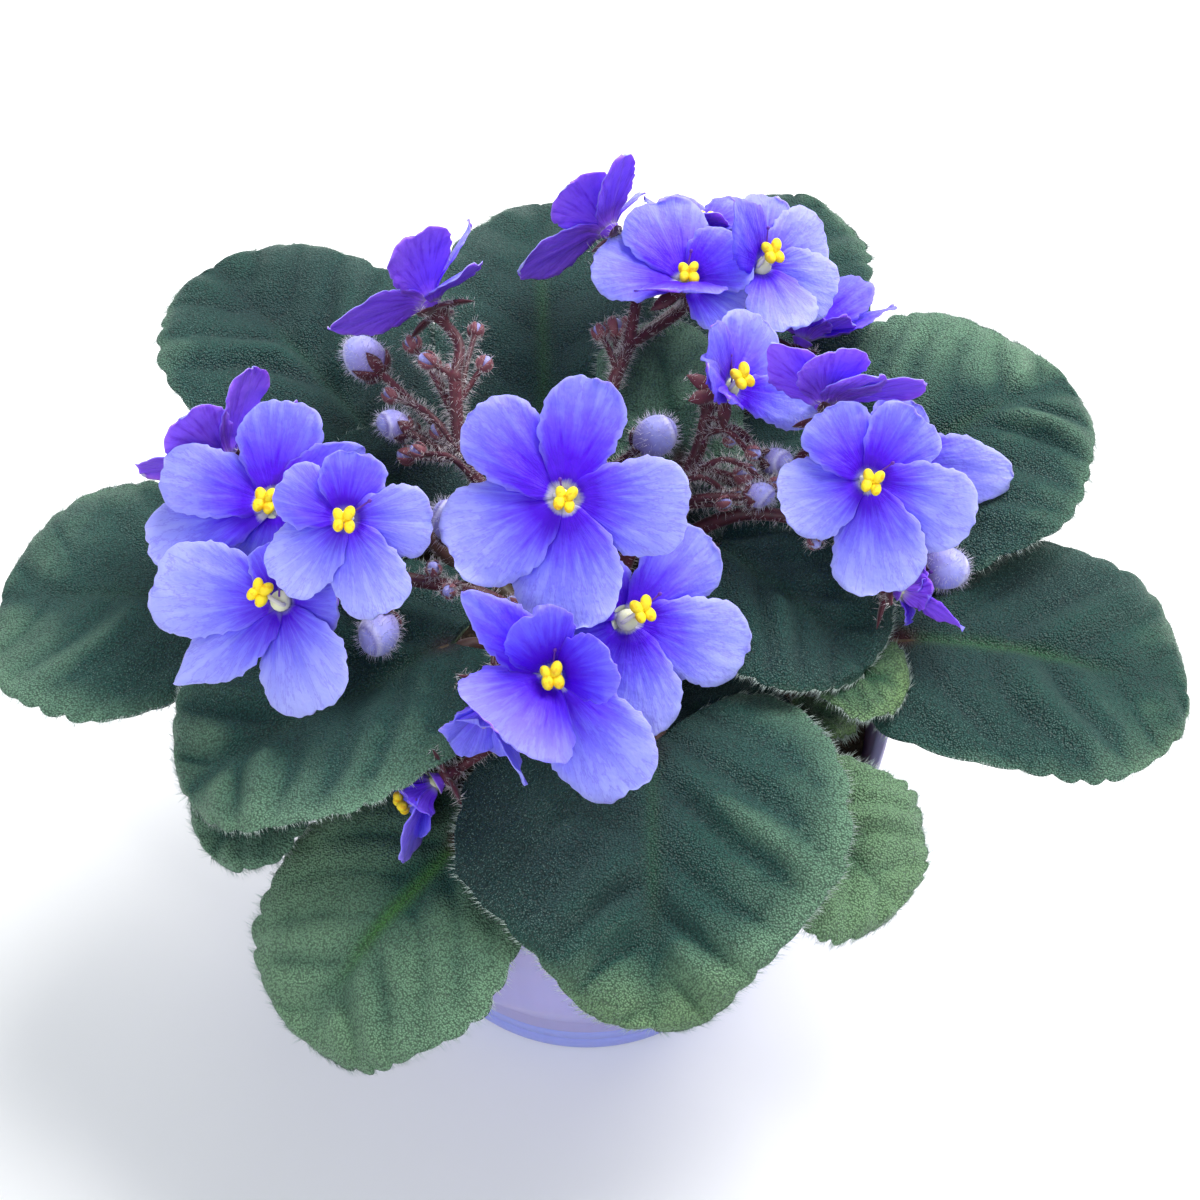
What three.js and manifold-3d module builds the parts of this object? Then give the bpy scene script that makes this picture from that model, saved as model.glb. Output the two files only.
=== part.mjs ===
// Potted African violet: frosted nursery pot, peat soil, a rosette of velvety
// leaves on short stalks, and six hairy flower sprays with violet blooms.
// Millimetres, Z up. The origin is the centre of the pot's underside,
// and the front of the plant faces -Y.
import * as THREE from 'three';
import Module from 'manifold-3d';

const wasm = await Module();
wasm.setup();

// Pot, mm
const POT_SIDES = 28;
const POT_HEIGHT = 90;
const POT_FLOOR = 2.4;
// Outer profile of the pot from the foot to the rim: radius, height.
const POT_OUTER = [
  [39.8, 0], [40.5, 1], [40.5, 8.5], [39.8, 9.0], [41.5, 9.8], [42.6, 17],
  [55, 45], [60.4, 86], [62.2, 86.6], [62.2, POT_HEIGHT],
];
const POT_INNER = [
  [60.4, POT_HEIGHT], [58.8, 85], [53.3, 45.4], [40.6, 17.6], [38.4, POT_FLOOR],
];
const DRAIN_HOLES = 5;
const DRAIN_RADIUS = 3;
const DRAIN_CIRCLE = 24;

// Soil, mm
const SOIL_GAP = 0.3;
const SOIL_TOP = 82;
const SOIL_MOUND = 84;
const CROWN_HOLE_RADIUS = 8.4;
const CROWN_HOLE_BOTTOM = 62;

// Crown, mm
const CROWN_RADIUS = 8.1;
const CROWN_TOP = 96;
const PETIOLE_RADIUS = 2.1;

// Leaf blades, mm
const LEAF_THICKNESS = 1.3;
const LEAF_EDGE_THICKNESS = 1.0;
const SCALLOP_DEPTH = 1.3;
const LEAF_SEAT = 0.25;

// Smallest edge and triangle height left in a joined surface, mm
const SHORT_EDGE = 0.06;
const THIN_TRIANGLE = 0.01;

// Blooms, mm
const PETAL_THICKNESS = 0.8;
// Each petal's left margin stands above its neighbour's right margin, as a slope.
const PETAL_TWIST = 0.14;
const THROAT_RADIUS = 2.6;
const PETAL_START = 1.2;
const TUBE_BACK = 2.6;
const BLOOM_SEAT = 0.25;

// Leaves: base of the blade, tip, width, roll in degrees, arch and cup as shares of
// the length and half width, basal lobes, share by which the widest part sits near the base.
const LEAVES = {
  leaf_front: { base: [13, -27, 102], tip: [13, -79, 87], width: 70, roll: 3,
    arch: 0.10, cup: 0.10, lobe: 0.32, ovate: 0.22 },
  leaf_front_left: { base: [-21.5, -41.5, 93.5], tip: [-52, -76.5, 77.5], width: 50, roll: 0,
    arch: 0.10, cup: 0, lobe: 0.25, ovate: 0.05 },
  leaf_front_right: { base: [37, -35, 97], tip: [59, -55, 88], width: 37, roll: 0,
    arch: 0.08, cup: 0, lobe: 0.2, ovate: 0 },
  leaf_right: { base: [63.5, 0.5, 97], tip: [119, -10.5, 95], width: 57, roll: 0,
    arch: 0.08, cup: 0, lobe: 0.2, ovate: -0.05 },
  leaf_back_right: { base: [59, 38, 103], tip: [102, 56.5, 112], width: 62, roll: 0,
    arch: 0.08, cup: 0, lobe: 0.2, ovate: 0 },
  leaf_inner_right: { base: [27, 14.5, 109.5], tip: [54.5, -11.5, 105], width: 42, roll: 0,
    arch: 0.08, cup: 0, lobe: 0.3, ovate: 0.1 },
  leaf_small_right: { base: [49.5, -9.5, 102], tip: [62.5, -14.5, 100], width: 19, roll: 0,
    arch: 0.08, cup: 0, lobe: 0.3, ovate: 0.1, small: true },
  leaf_tiny_right: { base: [42, -17, 97], tip: [53.5, -14, 92], width: 10, roll: 0,
    arch: 0.08, cup: 0, lobe: 0.2, ovate: 0.1, small: true },
  leaf_left: { base: [-26, -6, 105], tip: [-75.5, -35.5, 98], width: 54, roll: 0,
    arch: 0.10, cup: 0.15, lobe: 0.3, ovate: 0.1 },
  leaf_low_left: { base: [-58, -33, 97], tip: [-70.5, -45.5, 92], width: 23, roll: 0,
    arch: 0.08, cup: 0, lobe: 0.2, ovate: 0.1, small: true },
  leaf_far_left: { base: [-70.5, 8, 99], tip: [-119.5, 13, 95], width: 61, roll: 0,
    arch: 0.08, cup: 0, lobe: 0.1, ovate: 0 },
  leaf_back_left: { base: [-42, 42, 105], tip: [-82.5, 91.5, 114], width: 49, roll: 0,
    arch: 0.08, cup: 0, lobe: 0.2, ovate: -0.05 },
  leaf_back: { base: [-8.5, 47, 106], tip: [-10.5, 114.5, 112], width: 44, roll: 0,
    arch: 0.08, cup: 0, lobe: 0.2, ovate: -0.05 },
  leaf_back_far_right: { base: [34.5, 61.3, 103], tip: [47.5, 117.8, 111], width: 42, roll: 0,
    arch: 0.08, cup: 0, lobe: 0.2, ovate: -0.05 },
  leaf_inner_back: { base: [19.5, 33.5, 112], tip: [14.5, 70, 118], width: 30, roll: 0,
    arch: 0.08, cup: 0, lobe: 0.3, ovate: 0.1, small: true },
  leaf_inner_left: { base: [-31.5, 21, 108], tip: [-51, 41, 112], width: 30, roll: 0,
    arch: 0.08, cup: 0, lobe: 0.3, ovate: 0.1, small: true },
};

// Blooms: centre of the throat, the way the face points as compass angle and height
// in degrees, and each petal as turn, length, width and rise off the face plane.
// The anthers stand at right, up and outward from the throat. Where a bloom's stalk
// has to go round something, bend is a point on it, and from is how far along the
// main stalk it starts.
const BLOOMS = {
  bloom_middle: { at: [-3.7, -0.7, 143], face: [-90, 54], anthers: [0.4, -0.6, 3],
    petals: [[76, 23, 16, 2], [134, 23, 17, 2], [-153, 24, 21, 0], [-86, 24.5, 21, 0], [-7, 23.5, 20, 0]] },
  bloom_middle_right: { at: [8.1, -14.3, 124], face: [-62, 52], anthers: [2.2, 0.8, 3.9],
    petals: [[19, 23, 17, 0], [-37, 25, 18, 0], [-107, 22.5, 19, 0], [-160, 14, 15, -12], [104, 13, 14, -10]] },
  bloom_front: { at: [-5.7, -26.8, 124], face: [-88, 50], anthers: [0, 0, 4.4],
    petals: [[104, 17, 14, 42], [137, 25, 13, 40], [-122, 22, 21, 40], [-58, 27, 19, 0], [18, 17, 14, 42]] },
  bloom_right: { at: [54.2, 13.9, 131], face: [-90, 54], anthers: [0.4, -0.6, 3],
    petals: [[121, 16, 16, 4], [49, 16.5, 16, 4], [-22, 22, 18, 0], [-82, 22.5, 19, 0], [-163, 17.5, 17, 0]] },
  bloom_right_behind: { at: [60, 30, 117.6], face: [-85, 60], anthers: [0, 0, 3],
    petals: [[135, 18.5, 15, 0], [62, 15, 13.5, -4], [-9, 25.5, 15, 0], [-68, 13, 14, 0], [-142, 10, 12, 0]] },
  bloom_inner_right: { at: [28.2, 32.4, 137], face: [-50, 50], anthers: [1, 1, 4.4],
    petals: [[27, 18.5, 16, -8], [111, 19, 12, 48], [140, 17, 12, 45], [-163, 16, 12, 40], [-50, 22, 16, -18]] },
  bloom_back_right: { at: [36.1, 66.7, 137], face: [-60, 55], anthers: [1.6, 1.4, 3.8],
    petals: [[117, 20, 13, 48], [50, 17, 14.5, -10], [8, 19, 16, -8], [-40, 18, 16, -4], [-105, 18, 15, 34]] },
  bloom_back: { at: [20.3, 62.5, 137], face: [-90, 72], anthers: [0.6, 0, 3],
    petals: [[166, 19.5, 17, 4], [108, 19.5, 19, 4], [31, 12.5, 16, 8], [-28, 13, 13, -25], [-100, 13, 18, 38]] },
  bloom_left: { at: [-43.1, -5.9, 143], face: [-90, 54], anthers: [0.2, -0.4, 3],
    petals: [[150, 14.5, 14, 2], [80, 12.5, 14, 4], [-3, 15.5, 15, 0], [-70, 18.5, 17, 0], [-139, 17, 16, 0]] },
  bloom_low_left: { at: [-55.9, -13, 128], face: [-118, 50], anthers: [-2.4, 0.7, 4.2],
    petals: [[-166, 28.5, 20, 0], [-124, 28, 16, 0], [-49, 22, 20, 0], [17, 11.5, 13, 0], [118, 11, 13, 0]] },
  bloom_far_left: { at: [-58.9, 7.3, 132], face: [-105, 56], anthers: [-0.4, 0, 3],
    petals: [[96, 20, 17, 2], [-167, 26, 18, 0], [-105, 14, 15, -8], [-36, 14, 14, -12], [44, 21, 12, -4]] },
  bloom_left_back: { at: [-70, 23.9, 126.7], face: [125, 15], anthers: [0, 0, 3],
    petals: [[128, 19, 13, 28], [62, 17, 14, 18], [-36, 20, 15, 34], [179, 19, 12, 14], [-80, 14, 14, 19]] },
  bloom_back_left: { at: [-31.7, 58.4, 136], face: [125, 20], anthers: [0, 0, 3],
    petals: [[84, 18.5, 16, 24], [-178, 21, 14, 36], [118, 16, 13, -10], [2, 22, 16, 11], [-83, 17, 14, 36]] },
  bloom_top: { at: [4.2, 77.6, 138], face: [125, 20], anthers: [0, 0, 3],
    petals: [[58, 17, 15, 24], [96, 21, 11, 14], [-152, 17, 13, 26], [-12, 21, 15, 6], [-71, 18, 14, 29]] },
  bloom_tall_right: { at: [46.3, 66.6, 117], face: [60, 30], anthers: [0, 0, 3], bend: [38, 50, 121],
    petals: [[-112, 21, 14, 68], [-137, 24, 11, 47], [100, 8, 11, 30], [-20, 10, 12, 25], [165, 11, 12, 40]] },
  bloom_right_back: { at: [47.2, 33.7, 132], face: [95, 15], anthers: [0, 0, 3], bend: [36, 26.5, 114.5], from: 0.75,
    petals: [[52, 20, 11, 18], [92, 16, 15, 12], [125, 16, 13, -4], [160, 20, 12, 0], [-120, 12, 10, 34]] },
  bloom_low_right: { at: [62.4, 1.8, 112.3], face: [-10, -10], anthers: [0, 0, 3], bend: [52, 9, 114],
    petals: [[-177, 11.5, 9, 66], [-110, 8.5, 9, 20], [67, 6.5, 10, 20], [-46, 6.5, 8, 20], [125, 8, 10, 30]] },
  bloom_drooping: { at: [-17.1, -29.8, 119], face: [-100, -25], anthers: [0, 0, 3],
    petals: [[178, 10.5, 11, 52], [-135, 11.5, 11, 62], [7, 17, 9, 60], [-63, 11, 10, 54], [90, 9, 11, 40]] },
  bloom_low_front: { at: [-28.6, -37.9, 104], face: [-150, -10], anthers: [0, 0, 6], bend: [-13, -27, 108.5],
    petals: [[143, 15, 9, 66], [-18, 15.5, 13, 54], [-70, 10, 11, 44], [60, 8, 10, 44], [-130, 9, 10, 40]] },
  bloom_hidden: { at: [25, 86.8, 128], face: [80, 60], anthers: [0, 0, 3],
    petals: [[160, 14, 11, 30], [90, 14, 12, 30], [20, 15, 11, 30], [-50, 13, 11, 30], [-120, 13, 11, 30]] },
};
// Blooms whose yellow anthers show from some side.
const OPEN_FACES = [
  'bloom_middle', 'bloom_middle_right', 'bloom_front', 'bloom_right', 'bloom_right_behind',
  'bloom_inner_right', 'bloom_back_right', 'bloom_back', 'bloom_left', 'bloom_low_left',
  'bloom_far_left', 'bloom_back_left', 'bloom_top', 'bloom_low_front',
];

// Sprays: main stalk from the crown, side stalks to blooms, and buds as
// place, radius and where the bud's own stalk leaves the spray. Sag lowers
// the middle of that stalk.
const SPRAYS = {
  spray_front: { stalk: [[0, -6.4, 96.3], [0, -6.4, 100], [-4, -8, 108], [-9, -13, 113]],
    blooms: ['bloom_middle', 'bloom_middle_right', 'bloom_front', 'bloom_drooping', 'bloom_low_front'],
    buds: [] },
  spray_left: { stalk: [[-6.4, -1, 96.3], [-6.4, -1, 100], [-20, 1, 112], [-36, 3, 115]],
    blooms: ['bloom_left', 'bloom_low_left', 'bloom_far_left', 'bloom_left_back'],
    buds: [{ at: [-39, -10.6, 115], radius: 4.2, from: 1 }, { at: [-26, 10.3, 123], radius: 3.8, from: 0.7 }] },
  spray_back_left: { stalk: [[-4.8, 4.6, 96.3], [-4.8, 4.6, 100], [-18, 22, 113], [-24.6, 31, 121], [-26, 42, 130]],
    blooms: ['bloom_back_left'],
    buds: [{ at: [-45.2, 53.3, 124], radius: 4.6, from: 0.75 }, { at: [-38.4, 36.5, 122], radius: 3.2, from: 0.7 },
      { at: [-31.5, 44, 133], radius: 1.6, from: 1 }, { at: [-20.1, 46, 130], radius: 1.5, from: 0.9 },
      { at: [-36, 32, 118], radius: 1.8, from: 0.7 }] },
  spray_back: { stalk: [[0.6, 6.6, 96.3], [0.6, 6.6, 100], [1, 24, 112], [5, 44, 123], [9, 55, 126]],
    blooms: ['bloom_back', 'bloom_top', 'bloom_hidden'],
    buds: [{ at: [6.1, 61, 125], radius: 2.2, from: 0.85 }, { at: [13.8, 27, 129], radius: 4.3, from: 0.55 }] },
  spray_back_right: { stalk: [[4.6, 4.6, 96.3], [4.6, 4.6, 100], [10.5, 16.5, 112], [21.5, 28, 120], [24.5, 36, 127]],
    blooms: ['bloom_inner_right', 'bloom_back_right', 'bloom_tall_right', 'bloom_right_back'],
    buds: [{ at: [32, 25.5, 119.5], radius: 3, from: 0.75 }, { at: [38.5, 31.5, 116.5], radius: 2, from: 0.8 },
      { at: [34.5, 19.5, 119], radius: 1.8, from: 0.7 }] },
  spray_right: { stalk: [[6.4, -1, 96.3], [6.4, -1, 100], [14.5, 12.5, 108.5], [30, 20, 113.5], [49, 16, 115.5]],
    blooms: ['bloom_right', 'bloom_right_behind', 'bloom_low_right'],
    buds: [{ at: [70.3, 7.9, 112], radius: 4.6, from: 1, sag: -2 }] },
};
const STALK_RADIUS = 1.7;
const PEDICEL_RADIUS = 1.1;

const vec = (p) => new THREE.Vector3(p[0], p[1], p[2]);
const radians = (degrees) => degrees * Math.PI / 180;

// Surface of triangles as a solid for joins and cuts.
function solid(points, triangles) {
  const mesh = new wasm.Mesh({
    numProp: 3,
    vertProperties: new Float32Array(points.flatMap((p) => [p.x, p.y, p.z])),
    triVerts: new Uint32Array(triangles.flat()),
  });
  mesh.merge();
  return new wasm.Manifold(mesh);
}

// Turned body from a closed profile of radius and height, axis along Z.
function turned(profile, sides) {
  const points = [];
  const triangles = [];
  const rows = profile.length;
  const row = profile.map(([r, z]) => {
    const first = points.length;
    if (r < 1e-6) {
      points.push(new THREE.Vector3(0, 0, z));
      return { first, single: true };
    }
    for (let k = 0; k < sides; k++) {
      const a = 2 * Math.PI * k / sides;
      points.push(new THREE.Vector3(r * Math.cos(a), r * Math.sin(a), z));
    }
    return { first, single: false };
  });
  const closed = !(row[0].single && row[rows - 1].single);
  for (let i = 0; i < rows - (closed ? 0 : 1); i++) {
    const a = row[i];
    const b = row[(i + 1) % rows];
    for (let k = 0; k < sides; k++) {
      const n = (k + 1) % sides;
      const a0 = a.single ? a.first : a.first + k;
      const a1 = a.single ? a.first : a.first + n;
      const b0 = b.single ? b.first : b.first + k;
      const b1 = b.single ? b.first : b.first + n;
      if (!a.single) triangles.push([a0, a1, b1]);
      if (!b.single) triangles.push([a0, b1, b0]);
    }
  }
  return solid(points, triangles);
}

// Round tube through points, its radius running from start to end.
function tube(path, radiusStart, radiusEnd, sides, steps) {
  const curve = new THREE.CatmullRomCurve3(path, false, 'centripetal');
  const points = [];
  const triangles = [];
  const places = curve.getPoints(steps);
  let side = null;
  for (let i = 0; i <= steps; i++) {
    const along = curve.getTangent(i / steps);
    if (!side) {
      side = new THREE.Vector3(0.31, 0.95, 0.07).cross(along).normalize();
    }
    side.addScaledVector(along, -side.dot(along)).normalize();
    const other = new THREE.Vector3().crossVectors(along, side);
    const r = radiusStart + (radiusEnd - radiusStart) * i / steps;
    for (let k = 0; k < sides; k++) {
      const a = 2 * Math.PI * k / sides;
      points.push(places[i].clone().addScaledVector(side, r * Math.cos(a))
        .addScaledVector(other, r * Math.sin(a)));
    }
  }
  for (let i = 0; i < steps; i++) {
    for (let k = 0; k < sides; k++) {
      const n = (k + 1) % sides;
      triangles.push([i * sides + k, i * sides + n, (i + 1) * sides + n]);
      triangles.push([i * sides + k, (i + 1) * sides + n, (i + 1) * sides + k]);
    }
  }
  for (let k = 1; k < sides - 1; k++) {
    triangles.push([0, k + 1, k]);
    triangles.push([steps * sides, steps * sides + k, steps * sides + k + 1]);
  }
  return solid(points, triangles);
}

// Egg-shaped body at a place, its length along an axis.
function egg(place, axis, radius, halfLength, sides, rings) {
  const points = [place.clone().addScaledVector(axis, -halfLength)];
  const triangles = [];
  const helper = Math.abs(axis.z) < 0.9 ? new THREE.Vector3(0, 0, 1) : new THREE.Vector3(1, 0, 0);
  const side = helper.cross(axis).normalize();
  const other = new THREE.Vector3().crossVectors(axis, side);
  for (let i = 1; i < rings; i++) {
    const t = Math.PI * i / rings;
    for (let k = 0; k < sides; k++) {
      const a = 2 * Math.PI * (k + (i % 2) / 2) / sides;
      points.push(place.clone().addScaledVector(axis, -halfLength * Math.cos(t))
        .addScaledVector(side, radius * Math.sin(t) * Math.cos(a))
        .addScaledVector(other, radius * Math.sin(t) * Math.sin(a)));
    }
  }
  points.push(place.clone().addScaledVector(axis, halfLength));
  const last = points.length - 1;
  for (let k = 0; k < sides; k++) {
    const n = (k + 1) % sides;
    triangles.push([0, 1 + n, 1 + k]);
    triangles.push([last, last - sides + k, last - sides + n]);
    for (let i = 0; i < rings - 2; i++) {
      const a = 1 + i * sides;
      const b = a + sides;
      triangles.push([a + k, a + n, b + n]);
      triangles.push([a + k, b + n, b + k]);
    }
  }
  return solid(points, triangles);
}

// Directions of a leaf: x along the midrib, y to its left, n up from the blade.
function leafFrame(leaf) {
  const x = vec(leaf.tip).sub(vec(leaf.base)).normalize();
  const y0 = new THREE.Vector3(0, 0, 1).cross(x).normalize();
  const n0 = new THREE.Vector3().crossVectors(x, y0);
  const roll = radians(leaf.roll);
  const y = y0.clone().multiplyScalar(Math.cos(roll)).addScaledVector(n0, Math.sin(roll));
  const n = n0.clone().multiplyScalar(Math.cos(roll)).addScaledVector(y0, -Math.sin(roll));
  return { x, y, n };
}

// Point on the blade: turn runs from 0 at the base to pi at the tip, reach from
// the midrib at 0 to the right margin at 1 and the left margin at -1.
function leafPoint(leaf, frame, turn, reach, lift) {
  const length = vec(leaf.base).distanceTo(vec(leaf.tip));
  const half = leaf.width / 2;
  const t = (1 - Math.cos(turn)) / 2;
  const back = Math.max(0, Math.sin(2 * turn)) * Math.max(0, 1 - turn / (Math.PI / 2));
  const marginX = length * t - leaf.lobe * length * back;
  const marginY = half * Math.pow(Math.sin(turn), 0.9) * (1 + leaf.ovate * Math.cos(turn));
  const foot = length * 0.98 * Math.pow(t, 1.25);
  const a = Math.abs(reach);
  const along = foot + a * (marginX - foot);
  const across = reach * marginY;
  const s = Math.min(1, Math.max(-0.3, along / length));
  const rise = leaf.arch * length * 4 * s * (1 - s) + leaf.cup * half * Math.pow(across / half, 2);
  return vec(leaf.base).addScaledVector(frame.x, along).addScaledVector(frame.y, across)
    .addScaledVector(frame.n, rise + lift);
}

// Leaf blade with a scalloped margin: both faces are split alike.
function leafBlade(leaf) {
  const rows = leaf.small ? 6 : 11;
  const edges = rows * 2;
  const frame = leafFrame(leaf);
  const half = leaf.width / 2;
  const points = [];
  const triangles = [];
  const face = (up) => {
    const middle = up * LEAF_THICKNESS / 2;
    const margin = up * LEAF_EDGE_THICKNESS / 2;
    const add = (turn, reach, lift) => points.push(leafPoint(leaf, frame, turn, reach, lift)) - 1;
    const base = add(0, 0, middle);
    const tip = add(Math.PI, 1, margin);
    const rib = [base];
    for (let j = 1; j < rows; j++) rib.push(add(Math.PI * j / rows, 0, up > 0 ? middle - 0.2 : middle - 0.4));
    rib.push(tip);
    const sides = {};
    for (const hand of [1, -1]) {
      const inner = [base];
      for (let j = 1; j < rows; j++) {
        const pleat = (j % 2 ? 0.35 : -0.25) * (leaf.small ? 0.5 : 1);
        inner.push(add(Math.PI * j / rows, hand * 0.55, middle + pleat));
      }
      inner.push(tip);
      const edge = [base];
      for (let k = 1; k < edges; k++) {
        const turn = Math.PI * k / edges;
        const out = Math.max(4, half * Math.sin(turn));
        const scallop = SCALLOP_DEPTH * (leaf.small ? 0.7 : 1) / 2 / out * (k % 2 ? 1 : -1);
        edge.push(add(turn, hand * (1 + scallop), margin));
      }
      edge.push(tip);
      sides[hand] = edge;
      const put = (p, q, r) => {
        const distinct = p !== q && q !== r && p !== r;
        if (distinct) triangles.push(up * hand > 0 ? [p, r, q] : [p, q, r]);
      };
      for (let j = 0; j < rows; j++) {
        put(rib[j], inner[j], inner[j + 1]);
        put(rib[j], inner[j + 1], rib[j + 1]);
        put(inner[j], edge[2 * j], edge[2 * j + 1]);
        put(inner[j], edge[2 * j + 1], inner[j + 1]);
        put(inner[j + 1], edge[2 * j + 1], edge[2 * j + 2]);
      }
    }
    return sides;
  };
  const top = face(1);
  const under = face(-1);
  for (const hand of [1, -1]) {
    for (let k = 0; k < edges; k++) {
      const a = top[hand][k];
      const b = top[hand][k + 1];
      const c = under[hand][k];
      const d = under[hand][k + 1];
      triangles.push(hand > 0 ? [a, b, d] : [a, d, b]);
      triangles.push(hand > 0 ? [a, d, c] : [a, c, d]);
    }
  }
  return { points, triangles };
}

// Directions of a bloom: n out of the face, up and right across it.
function bloomFrame(bloom) {
  const a = radians(bloom.face[0]);
  const e = radians(bloom.face[1]);
  const n = new THREE.Vector3(Math.cos(a) * Math.cos(e), Math.sin(a) * Math.cos(e), Math.sin(e));
  const right = new THREE.Vector3(0, 0, 1).cross(n).normalize();
  const up = new THREE.Vector3().crossVectors(n, right);
  return { n, up, right };
}

// One petal as a closed blade: narrow at the throat, broad and round beyond.
function petalBlade(bloom, frame, petal) {
  const [turnDegrees, length, width, riseDegrees] = petal;
  const turn = radians(turnDegrees);
  const rise = radians(riseDegrees);
  const out = frame.right.clone().multiplyScalar(Math.cos(turn)).addScaledVector(frame.up, Math.sin(turn));
  const side = frame.right.clone().multiplyScalar(-Math.sin(turn)).addScaledVector(frame.up, Math.cos(turn));
  const stations = [0, 0.33, 0.64, 0.89];
  const points = [];
  const triangles = [];
  const place = (t, reach, lift) => {
    const reached = PETAL_START + (length - PETAL_START) * t;
    const ahead = Math.pow(t, 1.3);
    const halfWidth = 1.8 * (1 - t) * (1 - t) + width / 2 * Math.sqrt(Math.max(0, 1 - (2 * ahead - 1) ** 2));
    const across = reach * halfWidth;
    const bow = -0.06 * length * (reached / length) ** 2 - 0.1 * width / 2 * (across / (width / 2)) ** 2
      + PETAL_TWIST * across + lift;
    return vec(bloom.at)
      .addScaledVector(out, reached * Math.cos(rise) - bow * Math.sin(rise))
      .addScaledVector(frame.n, reached * Math.sin(rise) + bow * Math.cos(rise))
      .addScaledVector(side, across);
  };
  const grid = {};
  for (const up of [1, -1]) {
    const lift = up * PETAL_THICKNESS / 2;
    grid[up] = stations.map((t) => [-1, 0, 1].map((reach) => points.push(place(t, reach, lift)) - 1));
    grid[up].tip = points.push(place(1, 0, lift)) - 1;
  }
  const last = stations.length - 1;
  for (const up of [1, -1]) {
    const g = grid[up];
    const put = (p, q, r) => triangles.push(up > 0 ? [p, q, r] : [p, r, q]);
    for (let i = 0; i < last; i++) {
      for (let j = 0; j < 2; j++) {
        if (j === 0) {
          put(g[i][j], g[i + 1][j], g[i + 1][j + 1]);
          put(g[i][j], g[i + 1][j + 1], g[i][j + 1]);
        } else {
          put(g[i][j], g[i + 1][j], g[i][j + 1]);
          put(g[i + 1][j], g[i + 1][j + 1], g[i][j + 1]);
        }
      }
    }
    put(g[last][0], g.tip, g[last][1]);
    put(g[last][1], g.tip, g[last][2]);
  }
  const rim = [
    ...stations.map((t, i) => [grid[1][i][2], grid[-1][i][2]]),
    [grid[1].tip, grid[-1].tip],
    ...stations.map((t, i) => [grid[1][last - i][0], grid[-1][last - i][0]]),
    [grid[1][0][1], grid[-1][0][1]],
  ];
  for (let i = 0; i < rim.length; i++) {
    const [a, c] = rim[i];
    const [b, d] = rim[(i + 1) % rim.length];
    triangles.push([a, d, c]);
    triangles.push([a, b, d]);
  }
  return solid(points, triangles);
}

// Corolla: five petals grown together at a short tube.
function corolla(bloom) {
  const frame = bloomFrame(bloom);
  const back = vec(bloom.at).addScaledVector(frame.n, -TUBE_BACK);
  const front = vec(bloom.at).addScaledVector(frame.n, 0.8);
  let body = tube([back, front], 1.7, THROAT_RADIUS, 5, 1);
  for (const petal of bloom.petals) {
    body = body.add(petalBlade(bloom, frame, petal));
  }
  const tight = Math.max(...bloom.petals.map(([, , , rise]) => rise)) > 28;
  return body.asOriginal().simplify(tight ? 0.18 : 0.1);
}

// Pair of plump anthers on a short filament, just clear of the corolla.
function antherPair(bloom) {
  const frame = bloomFrame(bloom);
  const [across, upward, outward] = bloom.anthers;
  const lips = bloom.petals.map(([, , , rise]) => PETAL_START * Math.sin(radians(rise)) + PETAL_THICKNESS / 2);
  const clear = Math.max(0.8, ...lips) + BLOOM_SEAT + (Math.max(...lips) > 0.8 ? 0.35 : 0.1);
  const root = vec(bloom.at).addScaledVector(frame.n, clear);
  const head = vec(bloom.at).addScaledVector(frame.right, across).addScaledVector(frame.up, upward)
    .addScaledVector(frame.n, outward);
  const straight = root.clone().addScaledVector(frame.n, 1.2);
  let body = tube([root, straight, head], 0.7, 0.7, 3, 2);
  for (const hand of [1, -1]) {
    const lobe = head.clone().addScaledVector(frame.right, hand * 0.95);
    const lean = frame.up.clone().addScaledVector(frame.right, hand * 0.25)
      .addScaledVector(frame.n, 0.1).normalize();
    body = body.add(egg(lobe, lean, 1.15, 1.7, 4, 3));
  }
  return body.asOriginal().simplify(0.12);
}

// Point part way along a spray's main stalk.
function alongStalk(stalk, share) {
  return new THREE.CatmullRomCurve3(stalk.map(vec), false, 'centripetal').getPoint(share);
}

// Flower spray: main stalk, a side stalk to each bloom ending in its calyx, and buds.
function spray(plan) {
  let body = tube(plan.stalk.map(vec), STALK_RADIUS + 0.3, STALK_RADIUS, 6, 6);
  const fork = vec(plan.stalk[plan.stalk.length - 1]);
  for (const name of plan.blooms) {
    const bloom = BLOOMS[name];
    const frame = bloomFrame(bloom);
    const seat = vec(bloom.at).addScaledVector(frame.n, -TUBE_BACK - BLOOM_SEAT);
    const behind = seat.clone().addScaledVector(frame.n, -3);
    const bend = bloom.bend ? vec(bloom.bend) : behind.clone().addScaledVector(frame.n, -6);
    const start = bloom.from ? alongStalk(plan.stalk, bloom.from) : fork;
    const inCalyx = behind.clone().addScaledVector(frame.n, 0.5);
    body = body.add(tube([start, bend, inCalyx], PEDICEL_RADIUS + 0.1, PEDICEL_RADIUS, 5, 4));
    body = body.add(tube([behind, seat], 1.1, 2.6, 5, 1));
  }
  for (const bud of plan.buds) {
    const place = vec(bud.at);
    const root = alongStalk(plan.stalk, bud.from);
    const axis = place.clone().sub(root).setZ(Math.max(1, place.z - root.z)).normalize();
    const neck = place.clone().addScaledVector(axis, -bud.radius * 0.8);
    const middle = root.clone().lerp(neck, 0.5).add(new THREE.Vector3(0, 0, bud.sag ?? 0));
    body = body.add(tube([root, middle, neck], 1.0, 0.9, 5, 3));
    const large = bud.radius > 3;
    body = body.add(egg(place, axis, bud.radius, bud.radius * 1.2, large ? 7 : 5, large ? 4 : 3));
  }
  return body.asOriginal().simplify(0.15);
}

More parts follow.
